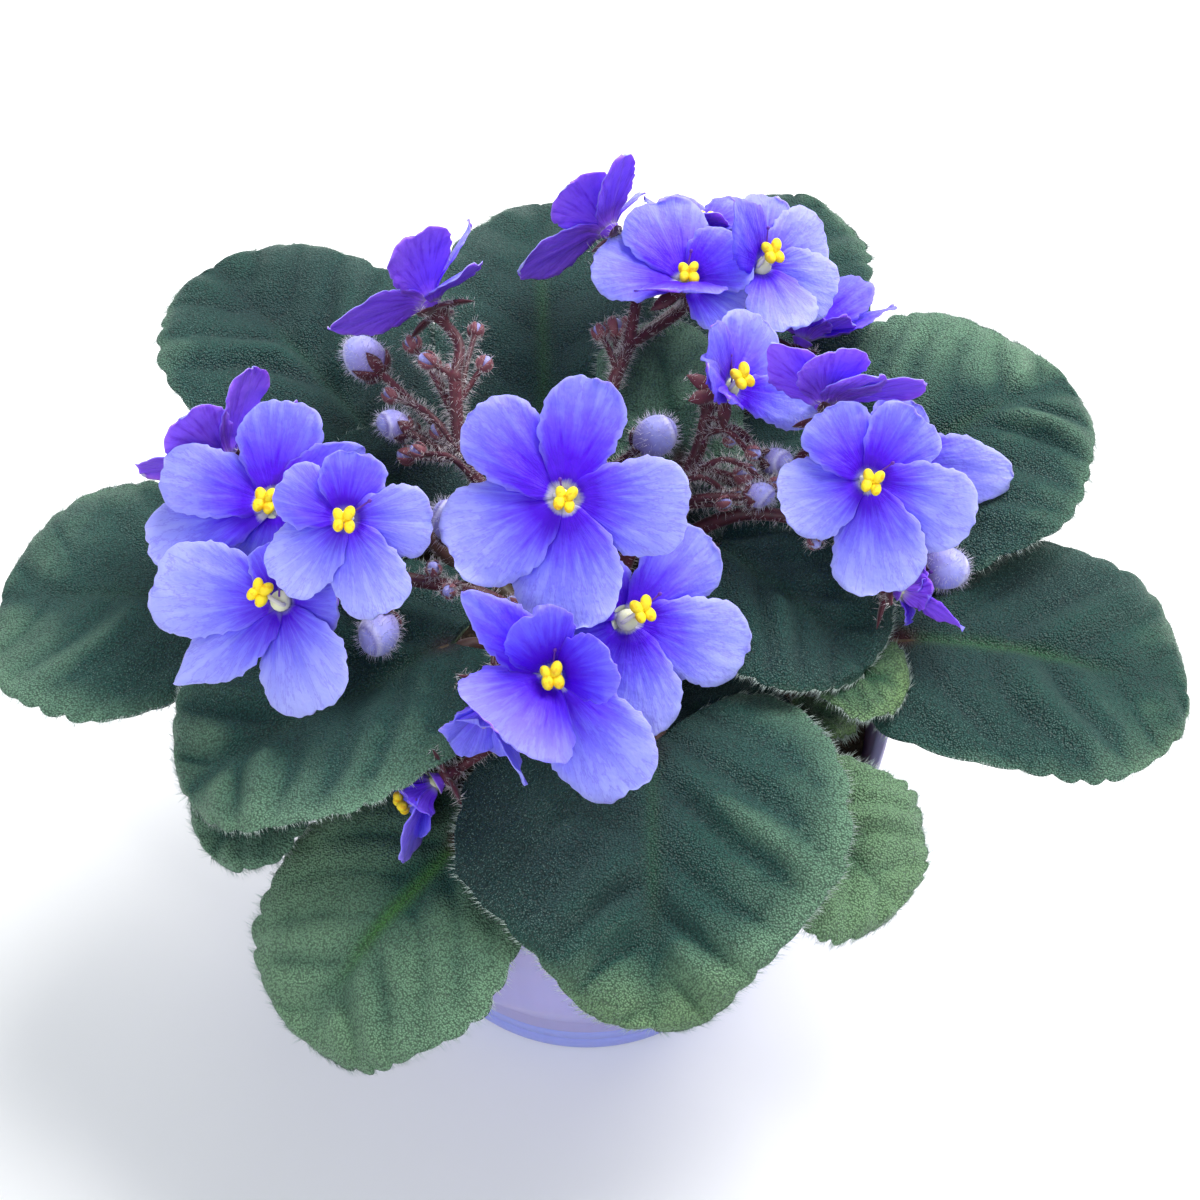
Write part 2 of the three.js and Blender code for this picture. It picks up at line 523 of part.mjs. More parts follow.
// Crown with every leaf stalk grown into it; each stalk ends just under its blade.
function crown() {
  const foot = CROWN_HOLE_BOTTOM + 0.3;
  let body = turned([[0, foot], [4, foot], [CROWN_RADIUS, 68], [CROWN_RADIUS, 84],
    [10.5, 88], [10.5, 94], [9, CROWN_TOP], [0, CROWN_TOP]], 12);
  for (const leaf of Object.values(LEAVES)) {
    const frame = leafFrame(leaf);
    const radius = leaf.small ? PETIOLE_RADIUS * 0.75 : PETIOLE_RADIUS;
    const base = vec(leaf.base);
    const under = LEAF_THICKNESS / 2 + 0.6 + LEAF_SEAT + radius;
    const end = base.clone().addScaledVector(frame.x, 3).addScaledVector(frame.n, -under + 1);
    const before = base.clone().addScaledVector(frame.x, -5).addScaledVector(frame.n, -under - 1.6);
    const heading = new THREE.Vector3(base.x, base.y, 0).normalize();
    const start = new THREE.Vector3(0, 0, leaf.root ?? 88).addScaledVector(heading, 5);
    const leaving = new THREE.Vector3(0, 0, (leaf.root ?? 88) + 1).addScaledVector(heading, 13);
    body = body.add(tube([start, leaving, before, end], radius + 0.3, radius, 5, 4));
  }
  return body.asOriginal().simplify(0.15);
}

// Pot, open at the top, with round drain holes through its floor.
function pot() {
  let body = turned([[0, 0], ...POT_OUTER, ...POT_INNER, [0, POT_FLOOR]], POT_SIDES);
  for (let k = 0; k < DRAIN_HOLES; k++) {
    const a = 2 * Math.PI * (k + 0.5) / DRAIN_HOLES;
    const place = new THREE.Vector3(DRAIN_CIRCLE * Math.cos(a), DRAIN_CIRCLE * Math.sin(a), -2);
    const end = place.clone().setZ(POT_FLOOR + 2);
    body = body.subtract(tube([place, end], DRAIN_RADIUS, DRAIN_RADIUS, 6, 1));
  }
  return body;
}

// Soil filling the pot to just under the rim, with a plain hole for the crown.
function soil() {
  const wall = POT_INNER.slice(1, -1).reverse().map(([r, z]) => [r - SOIL_GAP, z]);
  const top = wall.pop();
  const profile = [[0, POT_FLOOR + SOIL_GAP], [38.0, POT_FLOOR + SOIL_GAP], ...wall,
    [top[0] - 0.6, SOIL_TOP - 1], [50, SOIL_TOP], [24, SOIL_MOUND], [CROWN_HOLE_RADIUS, SOIL_MOUND - 1],
    [CROWN_HOLE_RADIUS, CROWN_HOLE_BOTTOM], [0, CROWN_HOLE_BOTTOM]];
  return turned(profile, POT_SIDES);
}

// Tidies a joined surface: edges under SHORT_EDGE are closed up and triangles
// flatter than THIN_TRIANGLE have their long edge swung across, so none is degenerate.
function tidied(body) {
  const mesh = body.getMesh();
  const points = [];
  for (let i = 0; i < mesh.numVert; i++) {
    points.push(new THREE.Vector3().fromArray(mesh.vertProperties, i * mesh.numProp));
  }
  let triangles = [];
  for (let t = 0; t < mesh.numTri; t++) triangles.push(Array.from(mesh.triVerts.subarray(3 * t, 3 * t + 3)));
  const around = (v) => new Set(triangles.filter((t) => t.includes(v)).flat().filter((w) => w !== v));
  const closeUp = (u, v) => {
    const ofV = around(v);
    const shared = [...around(u)].filter((w) => ofV.has(w));
    if (shared.length !== 2) return false;
    points[u].lerp(points[v], 0.5);
    triangles = triangles.filter((t) => !(t.includes(u) && t.includes(v)))
      .map((t) => t.map((w) => (w === v ? u : w)));
    return true;
  };
  const swing = (a, b, c) => {
    const other = triangles.find((t) => t.includes(a) && t.includes(b) && !t.includes(c));
    const d = other?.find((w) => w !== a && w !== b);
    if (d === undefined || around(c).has(d)) return false;
    const first = triangles.find((t) => t.includes(a) && t.includes(b) && t.includes(c));
    triangles = triangles.filter((t) => t !== first && t !== other);
    triangles.push([c, a, d], [d, b, c]);
    return true;
  };
  for (let round = 0; round < 400; round++) {
    let changed = false;
    for (const t of triangles) {
      for (let k = 0; k < 3 && !changed; k++) {
        const u = t[k];
        const v = t[(k + 1) % 3];
        if (points[u].distanceTo(points[v]) < SHORT_EDGE) changed = closeUp(u, v);
      }
      for (let k = 0; k < 3 && !changed; k++) {
        const [a, b, c] = [t[k], t[(k + 1) % 3], t[(k + 2) % 3]];
        const edge = points[b].clone().sub(points[a]);
        const height = edge.clone().cross(points[c].clone().sub(points[a])).length() / edge.length();
        const others = Math.max(points[c].distanceTo(points[a]), points[c].distanceTo(points[b]));
        const longest = edge.length() > others;
        if (longest && height < THIN_TRIANGLE) changed = swing(a, b, c);
      }
      if (changed) break;
    }
    if (!changed) break;
  }
  const used = [...new Set(triangles.flat())];
  // Corners that only touch are drawn a little apart, each toward its own neighbours.
  used.forEach((u, i) => {
    const touching = used.slice(i + 1).filter((v) => points[u].distanceTo(points[v]) < SHORT_EDGE / 3);
    for (const v of touching.length ? [u, ...touching] : []) {
      const near = [...around(v)].map((w) => points[w]);
      const middle = near.reduce((sum, q) => sum.add(q), new THREE.Vector3()).divideScalar(near.length);
      points[v].lerp(middle, 0.12);
    }
  });
  const index = new Map(used.map((v, i) => [v, i]));
  return { points: used.map((v) => points[v]), triangles: triangles.map((t) => t.map((v) => index.get(v))) };
}

const group = new THREE.Group();
group.name = 'potted_african_violet';

// Adds a named piece from triangles or from a joined solid.
function addPiece(name, slot, color, shape) {
  const { points, triangles } = shape.getMesh ? tidied(shape) : shape;
  const geometry = new THREE.BufferGeometry();
  geometry.setAttribute('position', new THREE.Float32BufferAttribute(points.flatMap((p) => [p.x, p.y, p.z]), 3));
  geometry.setIndex(triangles.flat());
  geometry.computeVertexNormals();
  const material = new THREE.MeshStandardMaterial({ color, roughness: 0.7, metalness: 0 });
  material.name = slot;
  const piece = new THREE.Mesh(geometry, material);
  piece.name = name;
  group.add(piece);
}

addPiece('pot', 'pot', 0xb4aede, pot());
addPiece('soil', 'soil', 0x2c211c, soil());
addPiece('crown', 'stalk', 0x6a3a44, crown());
for (const [name, leaf] of Object.entries(LEAVES)) {
  addPiece(name, 'leaf', 0x3d6150, leafBlade(leaf));
}
for (const [name, plan] of Object.entries(SPRAYS)) {
  addPiece(name, 'stalk', 0x6a3a44, spray(plan));
}
for (const [name, bloom] of Object.entries(BLOOMS)) {
  addPiece(name, 'petal', 0x6a52e6, corolla(bloom));
  if (OPEN_FACES.includes(name)) {
    addPiece(name.replace('bloom', 'anthers'), 'anther', 0xf2d21c, antherPair(bloom));
  }
}

export default group;
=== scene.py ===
import bpy
import numpy as np
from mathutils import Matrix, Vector
from numpy import cos, pi, sin


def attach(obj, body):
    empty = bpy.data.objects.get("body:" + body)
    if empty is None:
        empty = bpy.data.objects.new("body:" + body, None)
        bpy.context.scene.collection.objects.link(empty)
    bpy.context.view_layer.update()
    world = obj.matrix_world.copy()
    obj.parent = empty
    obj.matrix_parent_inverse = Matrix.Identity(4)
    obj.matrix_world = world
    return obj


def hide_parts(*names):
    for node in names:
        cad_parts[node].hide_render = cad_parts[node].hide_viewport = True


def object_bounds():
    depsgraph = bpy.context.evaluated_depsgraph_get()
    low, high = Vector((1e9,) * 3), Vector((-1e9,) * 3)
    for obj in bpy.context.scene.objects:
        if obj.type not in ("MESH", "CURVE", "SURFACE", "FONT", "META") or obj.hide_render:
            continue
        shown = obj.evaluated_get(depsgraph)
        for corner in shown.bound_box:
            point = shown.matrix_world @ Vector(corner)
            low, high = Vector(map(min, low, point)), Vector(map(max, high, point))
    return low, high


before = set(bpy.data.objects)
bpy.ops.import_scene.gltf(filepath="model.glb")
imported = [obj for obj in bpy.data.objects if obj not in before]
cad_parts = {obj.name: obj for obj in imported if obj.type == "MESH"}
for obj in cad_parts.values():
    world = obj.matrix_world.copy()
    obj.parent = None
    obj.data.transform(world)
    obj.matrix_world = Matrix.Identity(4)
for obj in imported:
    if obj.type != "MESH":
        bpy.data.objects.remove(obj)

cadLow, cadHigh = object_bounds()
boxLow = np.array(cadLow) * 1000
boxHigh = np.array(cadHigh) * 1000
pieceTriangles = {}
print("frame loaded:", len(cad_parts), "nodes")


def unit(v):
    v = np.asarray(v, float)
    return v / np.maximum(np.linalg.norm(v, axis=-1, keepdims=True), 1e-12)


def smoothStep(x):
    x = np.clip(x, 0, 1)
    return x * x * (3 - 2 * x)


def ringAngles(count):
    return np.linspace(0, 2 * pi, count, endpoint=False)


# Two axes square to a direction and to each other.
def crossAxes(axis):
    helper = np.where(np.abs(axis[..., 2:3]) < 0.9, [0.0, 0.0, 1.0], [1.0, 0.0, 0.0])
    side = unit(np.cross(helper, axis))
    return side, np.cross(axis, side)


# Closed shell: rings of points counted round the way they advance, shut by one point at each end.
# Quads join each ring to the next, and two fans of triangles join the outer rings to the end points.
def shell(rings, ends, tags=None, endTags=None):
    rows, columns = rings.shape[:2]
    i = np.arange(rows - 1)[:, None] * columns
    j = np.arange(columns)
    k = (j + 1) % columns
    end = rows * columns
    last = end - columns
    values = {}
    for key, value in (tags or {}).items():
        grid = np.broadcast_to(value, (rows, columns)).reshape(-1)
        values[key] = np.concatenate([grid, endTags[key] if endTags else grid[[0, -1]]])
    return {
        "points": np.concatenate([rings.reshape(-1, 3), ends]),
        "quads": np.stack([i + j, i + k, i + columns + k, i + columns + j], -1).reshape(-1, 4),
        "tris": np.concatenate([
            np.stack([end + 0 * j, k, j], 1), np.stack([end + 1 + 0 * j, last + j, last + k], 1)]),
        "tags": values}


# Roots sink in, in mm; seats are the shares of a radius where hairs start; shortest and longer are shares of
# a length, the second one random.
hairValues = {
    "sink": 0.15, "cornerTurns": (0, 2.0944, 4.1888), "lean": 0.30, "rootPale": 0.4, "shortest": 0.6,
    "longer": 0.7, "tubeThickness": 0.045, "tubeSeat": 0.97, "tubeRootPale": 0.8, "eggThickness": 0.055,
    "eggSeat": 0.98,
}


# Hairs as thin three-sided spikes: three root corners sunk in the skin and one tip.
def spikes(roots, directions, lengths, thickness, tags=None, pale=1.0, rootPale=hairValues["rootPale"]):
    v = hairValues
    d = unit(directions)
    side, other = crossAxes(d)
    foot = roots - d * v["sink"]
    corners = [foot + thickness * (side * cos(a) + other * sin(a)) for a in v["cornerTurns"]]
    points = np.stack(corners + [roots + d * lengths[:, None]], 1).reshape(-1, 3)
    n = np.arange(len(roots))[:, None, None] * 4
    values = {"hair": np.tile([rootPale] * 3 + [1.0], len(roots)) * pale}
    values.update({key: np.full(len(points), value) for key, value in (tags or {}).items()})
    return {
        "points": points, "quads": np.zeros((0, 4), int),
        "tris": (n + np.array([[0, 1, 3], [1, 2, 3], [2, 0, 3], [0, 2, 1]])).reshape(-1, 3), "tags": values}


def hairLengths(length, count, rng):
    return length * (hairValues["shortest"] + hairValues["longer"] * rng.random(count))


# One mesh from several parts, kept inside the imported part's box. Tags become point attributes.
def makePiece(name, parts, material, nodes=()):
    counts = [len(part["points"]) for part in parts]
    starts = np.cumsum([0] + counts[:-1])
    points = np.clip(np.concatenate([part["points"] for part in parts]), boxLow, boxHigh) / 1000
    quads = np.concatenate([part["quads"] + start for part, start in zip(parts, starts)])
    tris = np.concatenate([part["tris"] + start for part, start in zip(parts, starts)])
    loops = np.concatenate([quads.ravel(), tris.ravel()]).astype(np.int32)
    firstLoops = np.concatenate([np.arange(len(quads)) * 4, len(quads) * 4 + np.arange(len(tris)) * 3])
    mesh = bpy.data.meshes.new(name)
    mesh.vertices.add(len(points))
    mesh.vertices.foreach_set("co", points.astype(np.float32).ravel())
    mesh.loops.add(len(loops))
    mesh.loops.foreach_set("vertex_index", loops)
    mesh.polygons.add(len(firstLoops))
    mesh.polygons.foreach_set("loop_start", firstLoops.astype(np.int32))
    mesh.polygons.foreach_set("use_smooth", np.ones(len(firstLoops), bool))
    mesh.update(calc_edges=True)
    for key in sorted({key for part in parts for key in part["tags"]}):
        values = [part["tags"].get(key, np.zeros(count)) for part, count in zip(parts, counts)]
        attribute = mesh.attributes.new(key, "FLOAT", "POINT")
        attribute.data.foreach_set("value", np.concatenate(values).astype(np.float32))
    mesh.materials.append(material)
    piece = bpy.data.objects.new(name, mesh)
    bpy.context.scene.collection.objects.link(piece)
    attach(piece, "root")
    if nodes:
        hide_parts(*nodes)
    pieceTriangles[name] = 2 * len(quads) + len(tris)


# Point on a smooth curve through three or more corners, share 0 to 1 counted corner by corner.
# Cubic between corners; the slope at a corner is weighed by the square root of the chords.
def alongPath(corners, share):
    p = np.array(corners, float)
    ends = np.concatenate([[2 * p[0] - p[1]], p, [2 * p[-1] - p[-2]]])
    chord = np.sqrt(np.maximum(np.linalg.norm(np.diff(ends, axis=0), axis=1), 1e-6))
    seg = np.clip((np.asarray(share) * (len(p) - 1)).astype(int), 0, len(p) - 2)
    s = (np.asarray(share) * (len(p) - 1) - seg)[..., None]
    p0, p1, p2, p3 = (ends[seg + k] for k in range(4))
    d0, d1, d2 = (chord[seg + k][..., None] for k in range(3))
    m1 = ((p1 - p0) / d0 - (p2 - p0) / (d0 + d1) + (p2 - p1) / d1) * d1
    m2 = ((p2 - p1) / d1 - (p3 - p1) / (d1 + d2) + (p3 - p2) / d2) * d1
    return ((2 * s**3 - 3 * s**2 + 1) * p1 + (s**3 - 2 * s**2 + s) * m1
            + (3 * s**2 - 2 * s**3) * p2 + (s**3 - s**2) * m2)


def pathLine(corners, count):
    return alongPath(corners, np.linspace(0, 1, count))


plainFacing = (0.31, 0.95, 0.07)  # no stalk runs along it


# Frame along a line: tangent, side and other, each row square to the line.
def lineFrame(line, facing=plainFacing):
    tangent = unit(np.gradient(line, axis=0))
    side = unit(np.cross(np.broadcast_to(facing, tangent.shape), tangent))
    return tangent, side, np.cross(tangent, side)


# Tube: circles of points round a line, cosine times side plus sine times other; flat below 1 squeezes it
# along "other", and the ends stand out by a share of the radius.
def tubePart(line, radii, sides, tags=None, flat=1.0, facing=plainFacing, knobs=0.0, seed=0, endRise=0.4):
    radii = np.broadcast_to(radii, (len(line),)).astype(float)
    tangent, side, other = lineFrame(line, facing)
    a = ringAngles(sides)[None, :, None]
    r = radii[:, None, None]
    if knobs:
        r = r * (1 + knobs * np.random.default_rng(seed).standard_normal((len(line), sides, 1)))
    rings = line[:, None] + r * (cos(a) * side[:, None] + flat * sin(a) * other[:, None])
    ends = [line[0] - tangent[0] * radii[0] * endRise, line[-1] + tangent[-1] * radii[-1] * endRise]
    return shell(rings, ends, tags)


# Hairs standing square out of a tube, leaning a little at random.
def tubeHairs(line, radii, count, length, rng):
    v = hairValues
    radii = np.broadcast_to(radii, (len(line),)).astype(float)
    _, side, other = lineFrame(line)
    place = rng.random(count) * (len(line) - 1.001)
    i = place.astype(int)
    f = (place - i)[:, None]
    a = rng.random(count)[:, None] * 2 * pi
    centre = line[i] * (1 - f) + line[i + 1] * f
    out = cos(a) * side[i] + sin(a) * other[i]
    r = radii[i][:, None] * (1 - f) + radii[i + 1][:, None] * f
    directions = out + v["lean"] * rng.standard_normal((count, 3))
    roots, lengths = centre + out * r * v["tubeSeat"], hairLengths(length, count, rng)
    return spikes(roots, directions, lengths, v["tubeThickness"], rootPale=v["tubeRootPale"])


def hairyTube(line, radii, sides, hairs, length, rng, **options):
    return [tubePart(line, radii, sides, **options), tubeHairs(line, radii, hairs, length, rng)]


# Egg: rings at angles t from 0 to pi along its axis, radius times the sine and half length times the cosine.
# Swell and tags may be functions of t and of the angle a round the axis.
def eggPart(place, axis, radius, halfLength, sides=14, rows=9, swell=None, tags=None):
    axis = unit(axis)
    side, other = crossAxes(axis)
    t = np.linspace(0, pi, rows + 2)[1:-1][:, None]
    a = ringAngles(sides)[None]
    r = radius * sin(t) * (swell(t, a) if swell else 1.0)
    circle = cos(a)[..., None] * side + sin(a)[..., None] * other
    rings = place + axis * (-halfLength * cos(t))[..., None] + r[..., None] * circle
    values = {key: value(t, a) if callable(value) else value for key, value in (tags or {}).items()}
    return shell(rings, [place - axis * halfLength, place + axis * halfLength], values)


# Hairs all over an egg, square to its skin.
def eggHairs(place, axis, radius, halfLength, count, length, rng):
    v = hairValues
    d = unit(rng.standard_normal((count, 3)))
    along = (d @ axis)[:, None]
    across = d - along * axis
    roots = place + axis * along * halfLength * v["eggSeat"] + across * radius * v["eggSeat"]
    out = unit(across / radius + axis * along / halfLength)
    directions = out + v["lean"] * rng.standard_normal((count, 3))
    return spikes(roots, directions, hairLengths(length, count, rng), v["eggThickness"])


# One material. Each method adds a node and gives its output back; a value is a number, a colour or an output.
class skinNodes:
    def __init__(self, name):
        self.material = bpy.data.materials.new(name)
        self.material.use_nodes = True
        self.tree = self.material.node_tree
        self.shader = self.tree.nodes["Principled BSDF"]
        self.place = self.add("TexCoord", "Object")

    def feed(self, socket, value):
        if isinstance(value, bpy.types.NodeSocket):
            self.tree.links.new(value, socket)
        else:
            lacksAlpha = isinstance(value, tuple) and len(value) < len(socket.default_value)
            socket.default_value = (*value, 1) if lacksAlpha else value

    def add(self, kind, output, inputs=(), **settings):
        node = self.tree.nodes.new("ShaderNode" + kind)
        for key, value in settings.items():
            setattr(node, key, value)
        for key, value in dict(inputs).items():
            self.feed(node.inputs[key], value)
        return node.outputs[output]

    def tag(self, name):
        return self.add("Attribute", "Fac", attribute_name=name)

    def lanes(self, x, y):
        return self.add("CombineXYZ", "Vector", {"X": self.tag(x), "Y": self.tag(y)})

    def noise(self, scale, detail=3, rough=0.55, vector=None):
        inputs = {"Scale": scale, "Detail": detail, "Roughness": rough}
        return self.add("TexNoise", "Fac", {"Vector": self.place if vector is None else vector, **inputs})

    def cells(self, scale):
        return self.add("TexVoronoi", "Distance", {"Vector": self.place, "Scale": scale})

    def range(self, value, low, high, toLow=0.0, toHigh=1.0):
        inputs = {"Value": value, "From Min": low, "From Max": high, "To Min": toLow, "To Max": toHigh}
        return self.add("MapRange", "Result", inputs, interpolation_type="SMOOTHSTEP")

    def math(self, operation, a, b=0.0):
        return self.add("Math", "Value", {0: a, 1: b}, operation=operation)

    def times(self, first, *others):
        for other in others:
            first = self.math("MULTIPLY", first, other)
        return first

    def ramp(self, value, *stops):
        output = self.add("ValToRGB", "Color", {"Fac": value})
        elements = output.node.color_ramp.elements
        while len(elements) < len(stops):
            elements.new(0.5)
        for element, (place, colour) in zip(elements, stops):
            element.position = place
            element.color = (*colour, 1)
        return output

    def mix(self, factor, a, b, blend="MIX"):
        return self.add("Mix", 2, {0: factor, 6: a, 7: b}, data_type="RGBA", blend_type=blend)

    # Lays the look's colour of each tag over the colour, where the mesh has that tag.
    def overlay(self, colour, look, *tags):
        for tag in tags:
            colour = self.mix(self.tag(tag), colour, look[tag])
        return colour

    def bump(self, height, strength, distance, *before):
        inputs = {"Height": height, "Strength": strength, "Distance": distance}
        return self.add("Bump", "Normal", {**inputs, **{"Normal": normal for normal in before}})

    # Values of the shader by their names, with _ for a space.
    def finish(self, **values):
        for key, value in values.items():
            self.feed(self.shader.inputs[key.replace("_", " ")], value)
        return self.material


leafLook = {
    "dark": (0.001, 0.024, 0.028), "mid": (0.009, 0.062, 0.050), "light": (0.132, 0.265, 0.172),
    "speck": (0.34, 0.48, 0.42), "fresh": (1.35, 1.12, 0.55), "rib": (0.040, 0.150, 0.030),
    "spot": (0.060, 0.006, 0.016), "under": (0.16, 0.22, 0.12), "hair": (0.74, 0.86, 0.82),
    "pebblesPerMetre": 2500, "patchShare": 0.22, "sheen": (0.50, 0.86, 0.82, 1),
}


# Velvet from one pattern of pebbles: pale specks on the pebble tops, partly pale hair tips and partly painted
# glints, and painted shade in the grooves between the pebbles.
def leafMaterial():
    look = leafLook
    skin = skinNodes("velvetLeaf")
    patches = skin.range(skin.noise(55), 0.32, 0.68)
    pebbles = skin.cells(look["pebblesPerMetre"])
    tone = skin.math("ADD", skin.tag("tone"), skin.times(patches, look["patchShare"]))
    colour = skin.ramp(tone, (0.0, look["dark"]), (0.55, look["mid"]), (1.0, look["light"]))
    colour = skin.mix(skin.tag("fresh"), colour, look["fresh"], "MULTIPLY")
    colour = skin.overlay(colour, look, "rib")
    # Specks of pale hair tips and painted glints, more of them towards the margin and where the tone is
    # darker.
    grain, frost = skin.range(skin.noise(2600, 2), 0.38, 0.66), skin.tag("frost")
    hairTipsAndGlints = skin.times(skin.range(pebbles, 0.42, 0.0), grain, frost, skin.range(tone, 0.3, 1.0, 0.62, 0.24))
    colour = skin.mix(hairTipsAndGlints, colour, look["speck"])
    # Painted shade in the grooves between the pebbles.
    pitShade = skin.ramp(skin.range(pebbles, 0.34, 0.72, 1.0, 0.45), (0.0, (0, 0, 0)), (1.0, (1, 1, 1)))
    colour = skin.mix(1.0, colour, pitShade, "MULTIPLY")
    normal = skin.bump(skin.noise(420, 5), 0.5, 0.0007, skin.bump(pebbles, 1.0, -0.00045))
    return skin.finish(
        Base_Color=skin.overlay(colour, look, "spot", "under", "hair"), Normal=normal,
        Roughness=skin.range(patches, 0, 1, 0.52, 0.43), Specular_IOR_Level=0.30, Sheen_Weight=0.08,
        Sheen_Roughness=0.6, Sheen_Tint=look["sheen"])


petalLook = {
    "throat": (0.46, 0.44, 0.64), "deep": (0.066, 0.0006, 0.66), "rich": (0.112, 0.056, 0.86),
    "mid": (0.170, 0.158, 0.96), "pale": (0.262, 0.275, 0.98), "edge": (0.365, 0.395, 1.0),
    "under": (0.30, 0.11, 0.98), "underDark": (0.17, 0.03, 0.62), "cup": (0.66, 0.68, 0.56),
    "vein": (0.10, 0.03, 0.70), "lowStops": (0.0, 0.12, 0.155, 0.26, 0.38, 0.54, 0.72, 1.0),
    "highStops": (0.0, 0.12, 0.165, 0.36, 0.56, 0.82, 1.0),
    "depth": (0.8, 0.5, 1.0), "sheen": (0.72, 0.72, 1.0, 1),
}


# Petal: colours by the distance from the throat, shifted by a cloud and by streaks along the petal.
# The lower petals turn pale sooner than the upper ones, and raised petals take the upper ones' deeper colours
# as painted shade.
def petalMaterial():
    look = petalLook
    skin = skinNodes("violetPetal")
    cloud = skin.noise(150)
    streak = skin.noise(1.1, 4, 0.6, skin.lanes("lane", "run"))
    streakSwing = skin.math("SUBTRACT", streak, 0.5)
    out = skin.tag("radial")
    shifted = skin.math("ADD", out, skin.times(skin.math("SUBTRACT", cloud, 0.5), 0.14))
    shifted = skin.math("ADD", shifted, skin.times(streakSwing, skin.range(out, 0.15, 0.5, 0.05, 0.55)))
    lowColours = [look[key] for key in ("throat", "throat", "deep", "deep", "rich", "mid", "pale", "edge")]
    highColours = lowColours[:-1]
    low = skin.ramp(shifted, *zip(look["lowStops"], lowColours))
    high = skin.ramp(shifted, *zip(look["highStops"], highColours))
    colour = skin.mix(skin.tag("upper"), low, high)
    thin = skin.range(skin.math("ABSOLUTE", streakSwing), 0.0, 0.03, 0.30, 0.0)
    colour = skin.mix(skin.times(thin, skin.range(out, 0.2, 0.5)), colour, look["vein"])
    colour = skin.mix(skin.times(skin.tag("rim"), 0.5), colour, look["edge"])
    back = skin.ramp(streak, (0.30, look["underDark"]), (0.52, look["under"]))
    colour = skin.mix(skin.times(skin.tag("under"), 0.82), colour, back)
    normal = skin.bump(streak, 0.45, 0.0007, skin.bump(skin.noise(1500), 0.30, 0.0002))
    return skin.finish(
        Base_Color=skin.overlay(colour, look, "cup"), Normal=skin.bump(skin.noise(210), 0.35, 0.0016, normal),
        Roughness=skin.range(cloud, 0.3, 0.7, 0.42, 0.56), Specular_IOR_Level=0.20, Sheen_Weight=0.06,
        Sheen_Roughness=0.4, Sheen_Tint=look["sheen"], Subsurface_Weight=0.4, Subsurface_Scale=0.0012,
        Subsurface_Radius=look["depth"])


stalkLook = {
    "dark": (0.026, 0.005, 0.011), "light": (0.110, 0.018, 0.032), "green": (0.09, 0.13, 0.04),
    "blush": (0.235, 0.075, 0.095), "hair": (0.86, 0.80, 0.84),
}


def stalkMaterial():
    look = stalkLook
    skin = skinNodes("burgundyStalk")
    fine, broad = skin.noise(900), skin.noise(130, 2)
    mottle = skin.math("ADD", skin.times(fine, 0.5), skin.times(broad, 0.5))
    colour = skin.ramp(mottle, (0.30, look["dark"]), (0.70, look["light"]))
    return skin.finish(
        Base_Color=skin.overlay(colour, look, "green", "blush", "hair"), Normal=skin.bump(fine, 0.4, 0.0003),
        Roughness=skin.range(broad, 0.3, 0.7, 0.46, 0.6), Specular_IOR_Level=0.35, Sheen_Weight=0.3,
        Sheen_Roughness=0.4)


budLook = {
    "low": (0.25, 0.20, 0.50), "high": (0.36, 0.37, 0.86), "fold": (0.10, 0.05, 0.34),
    "hair": (0.76, 0.75, 0.92),
}


# Bud: darker at its foot, painted shade along the fold round the closing petal, and a pale lip beside it.
def budMaterial():
    look = budLook
    skin = skinNodes("lavenderBud")
    colour = skin.ramp(skin.tag("rise"), (0.1, look["low"]), (0.7, look["high"]))
    # Painted shade in the fold round the closing petal.
    colour = skin.mix(skin.times(skin.tag("fold"), 0.6), colour, look["fold"])
    colour = skin.mix(skin.times(skin.tag("lip"), 0.6), colour, look["hair"])
    colour = skin.mix(skin.range(skin.noise(700), 0.4, 0.7, 0.0, 0.35), colour, look["low"])
    return skin.finish(
        Base_Color=skin.overlay(colour, look, "hair"), Normal=skin.bump(skin.noise(1500, 2), 0.25, 0.0002),
        Roughness=skin.range(skin.noise(250, 2), 0.3, 0.7, 0.42, 0.55), Specular_IOR_Level=0.35,
        Sheen_Weight=0.4, Sheen_Roughness=0.35)


antherLook = {
    "yellow": (0.93, 0.72, 0.022), "orange": (0.82, 0.44, 0.008), "style": (0.120, 0.030, 0.34),
    "filament": (0.62, 0.60, 0.55), "green": (0.72, 0.76, 0.50),
}


def antherMaterial():
    look = antherLook
    skin = skinNodes("yellowAnther")
    colour = skin.ramp(skin.noise(900), (0.35, look["orange"]), (0.50, look["yellow"]))
    return skin.finish(
        Base_Color=skin.overlay(colour, look, "filament", "green", "style"),
        Normal=skin.bump(skin.noise(5200, 2), 0.35, 0.00012),
        Roughness=skin.range(skin.noise(400, 2), 0.3, 0.7, 0.48, 0.62), Specular_IOR_Level=0.3)


potLook = {
    "wall": (0.320, 0.288, 0.570), "band": (0.290, 0.330, 0.760), "inside": (0.20, 0.18, 0.38),
    "streakDark": (0.965, 0.965, 0.97), "streakLight": (1.0, 1.0, 1.0),
}


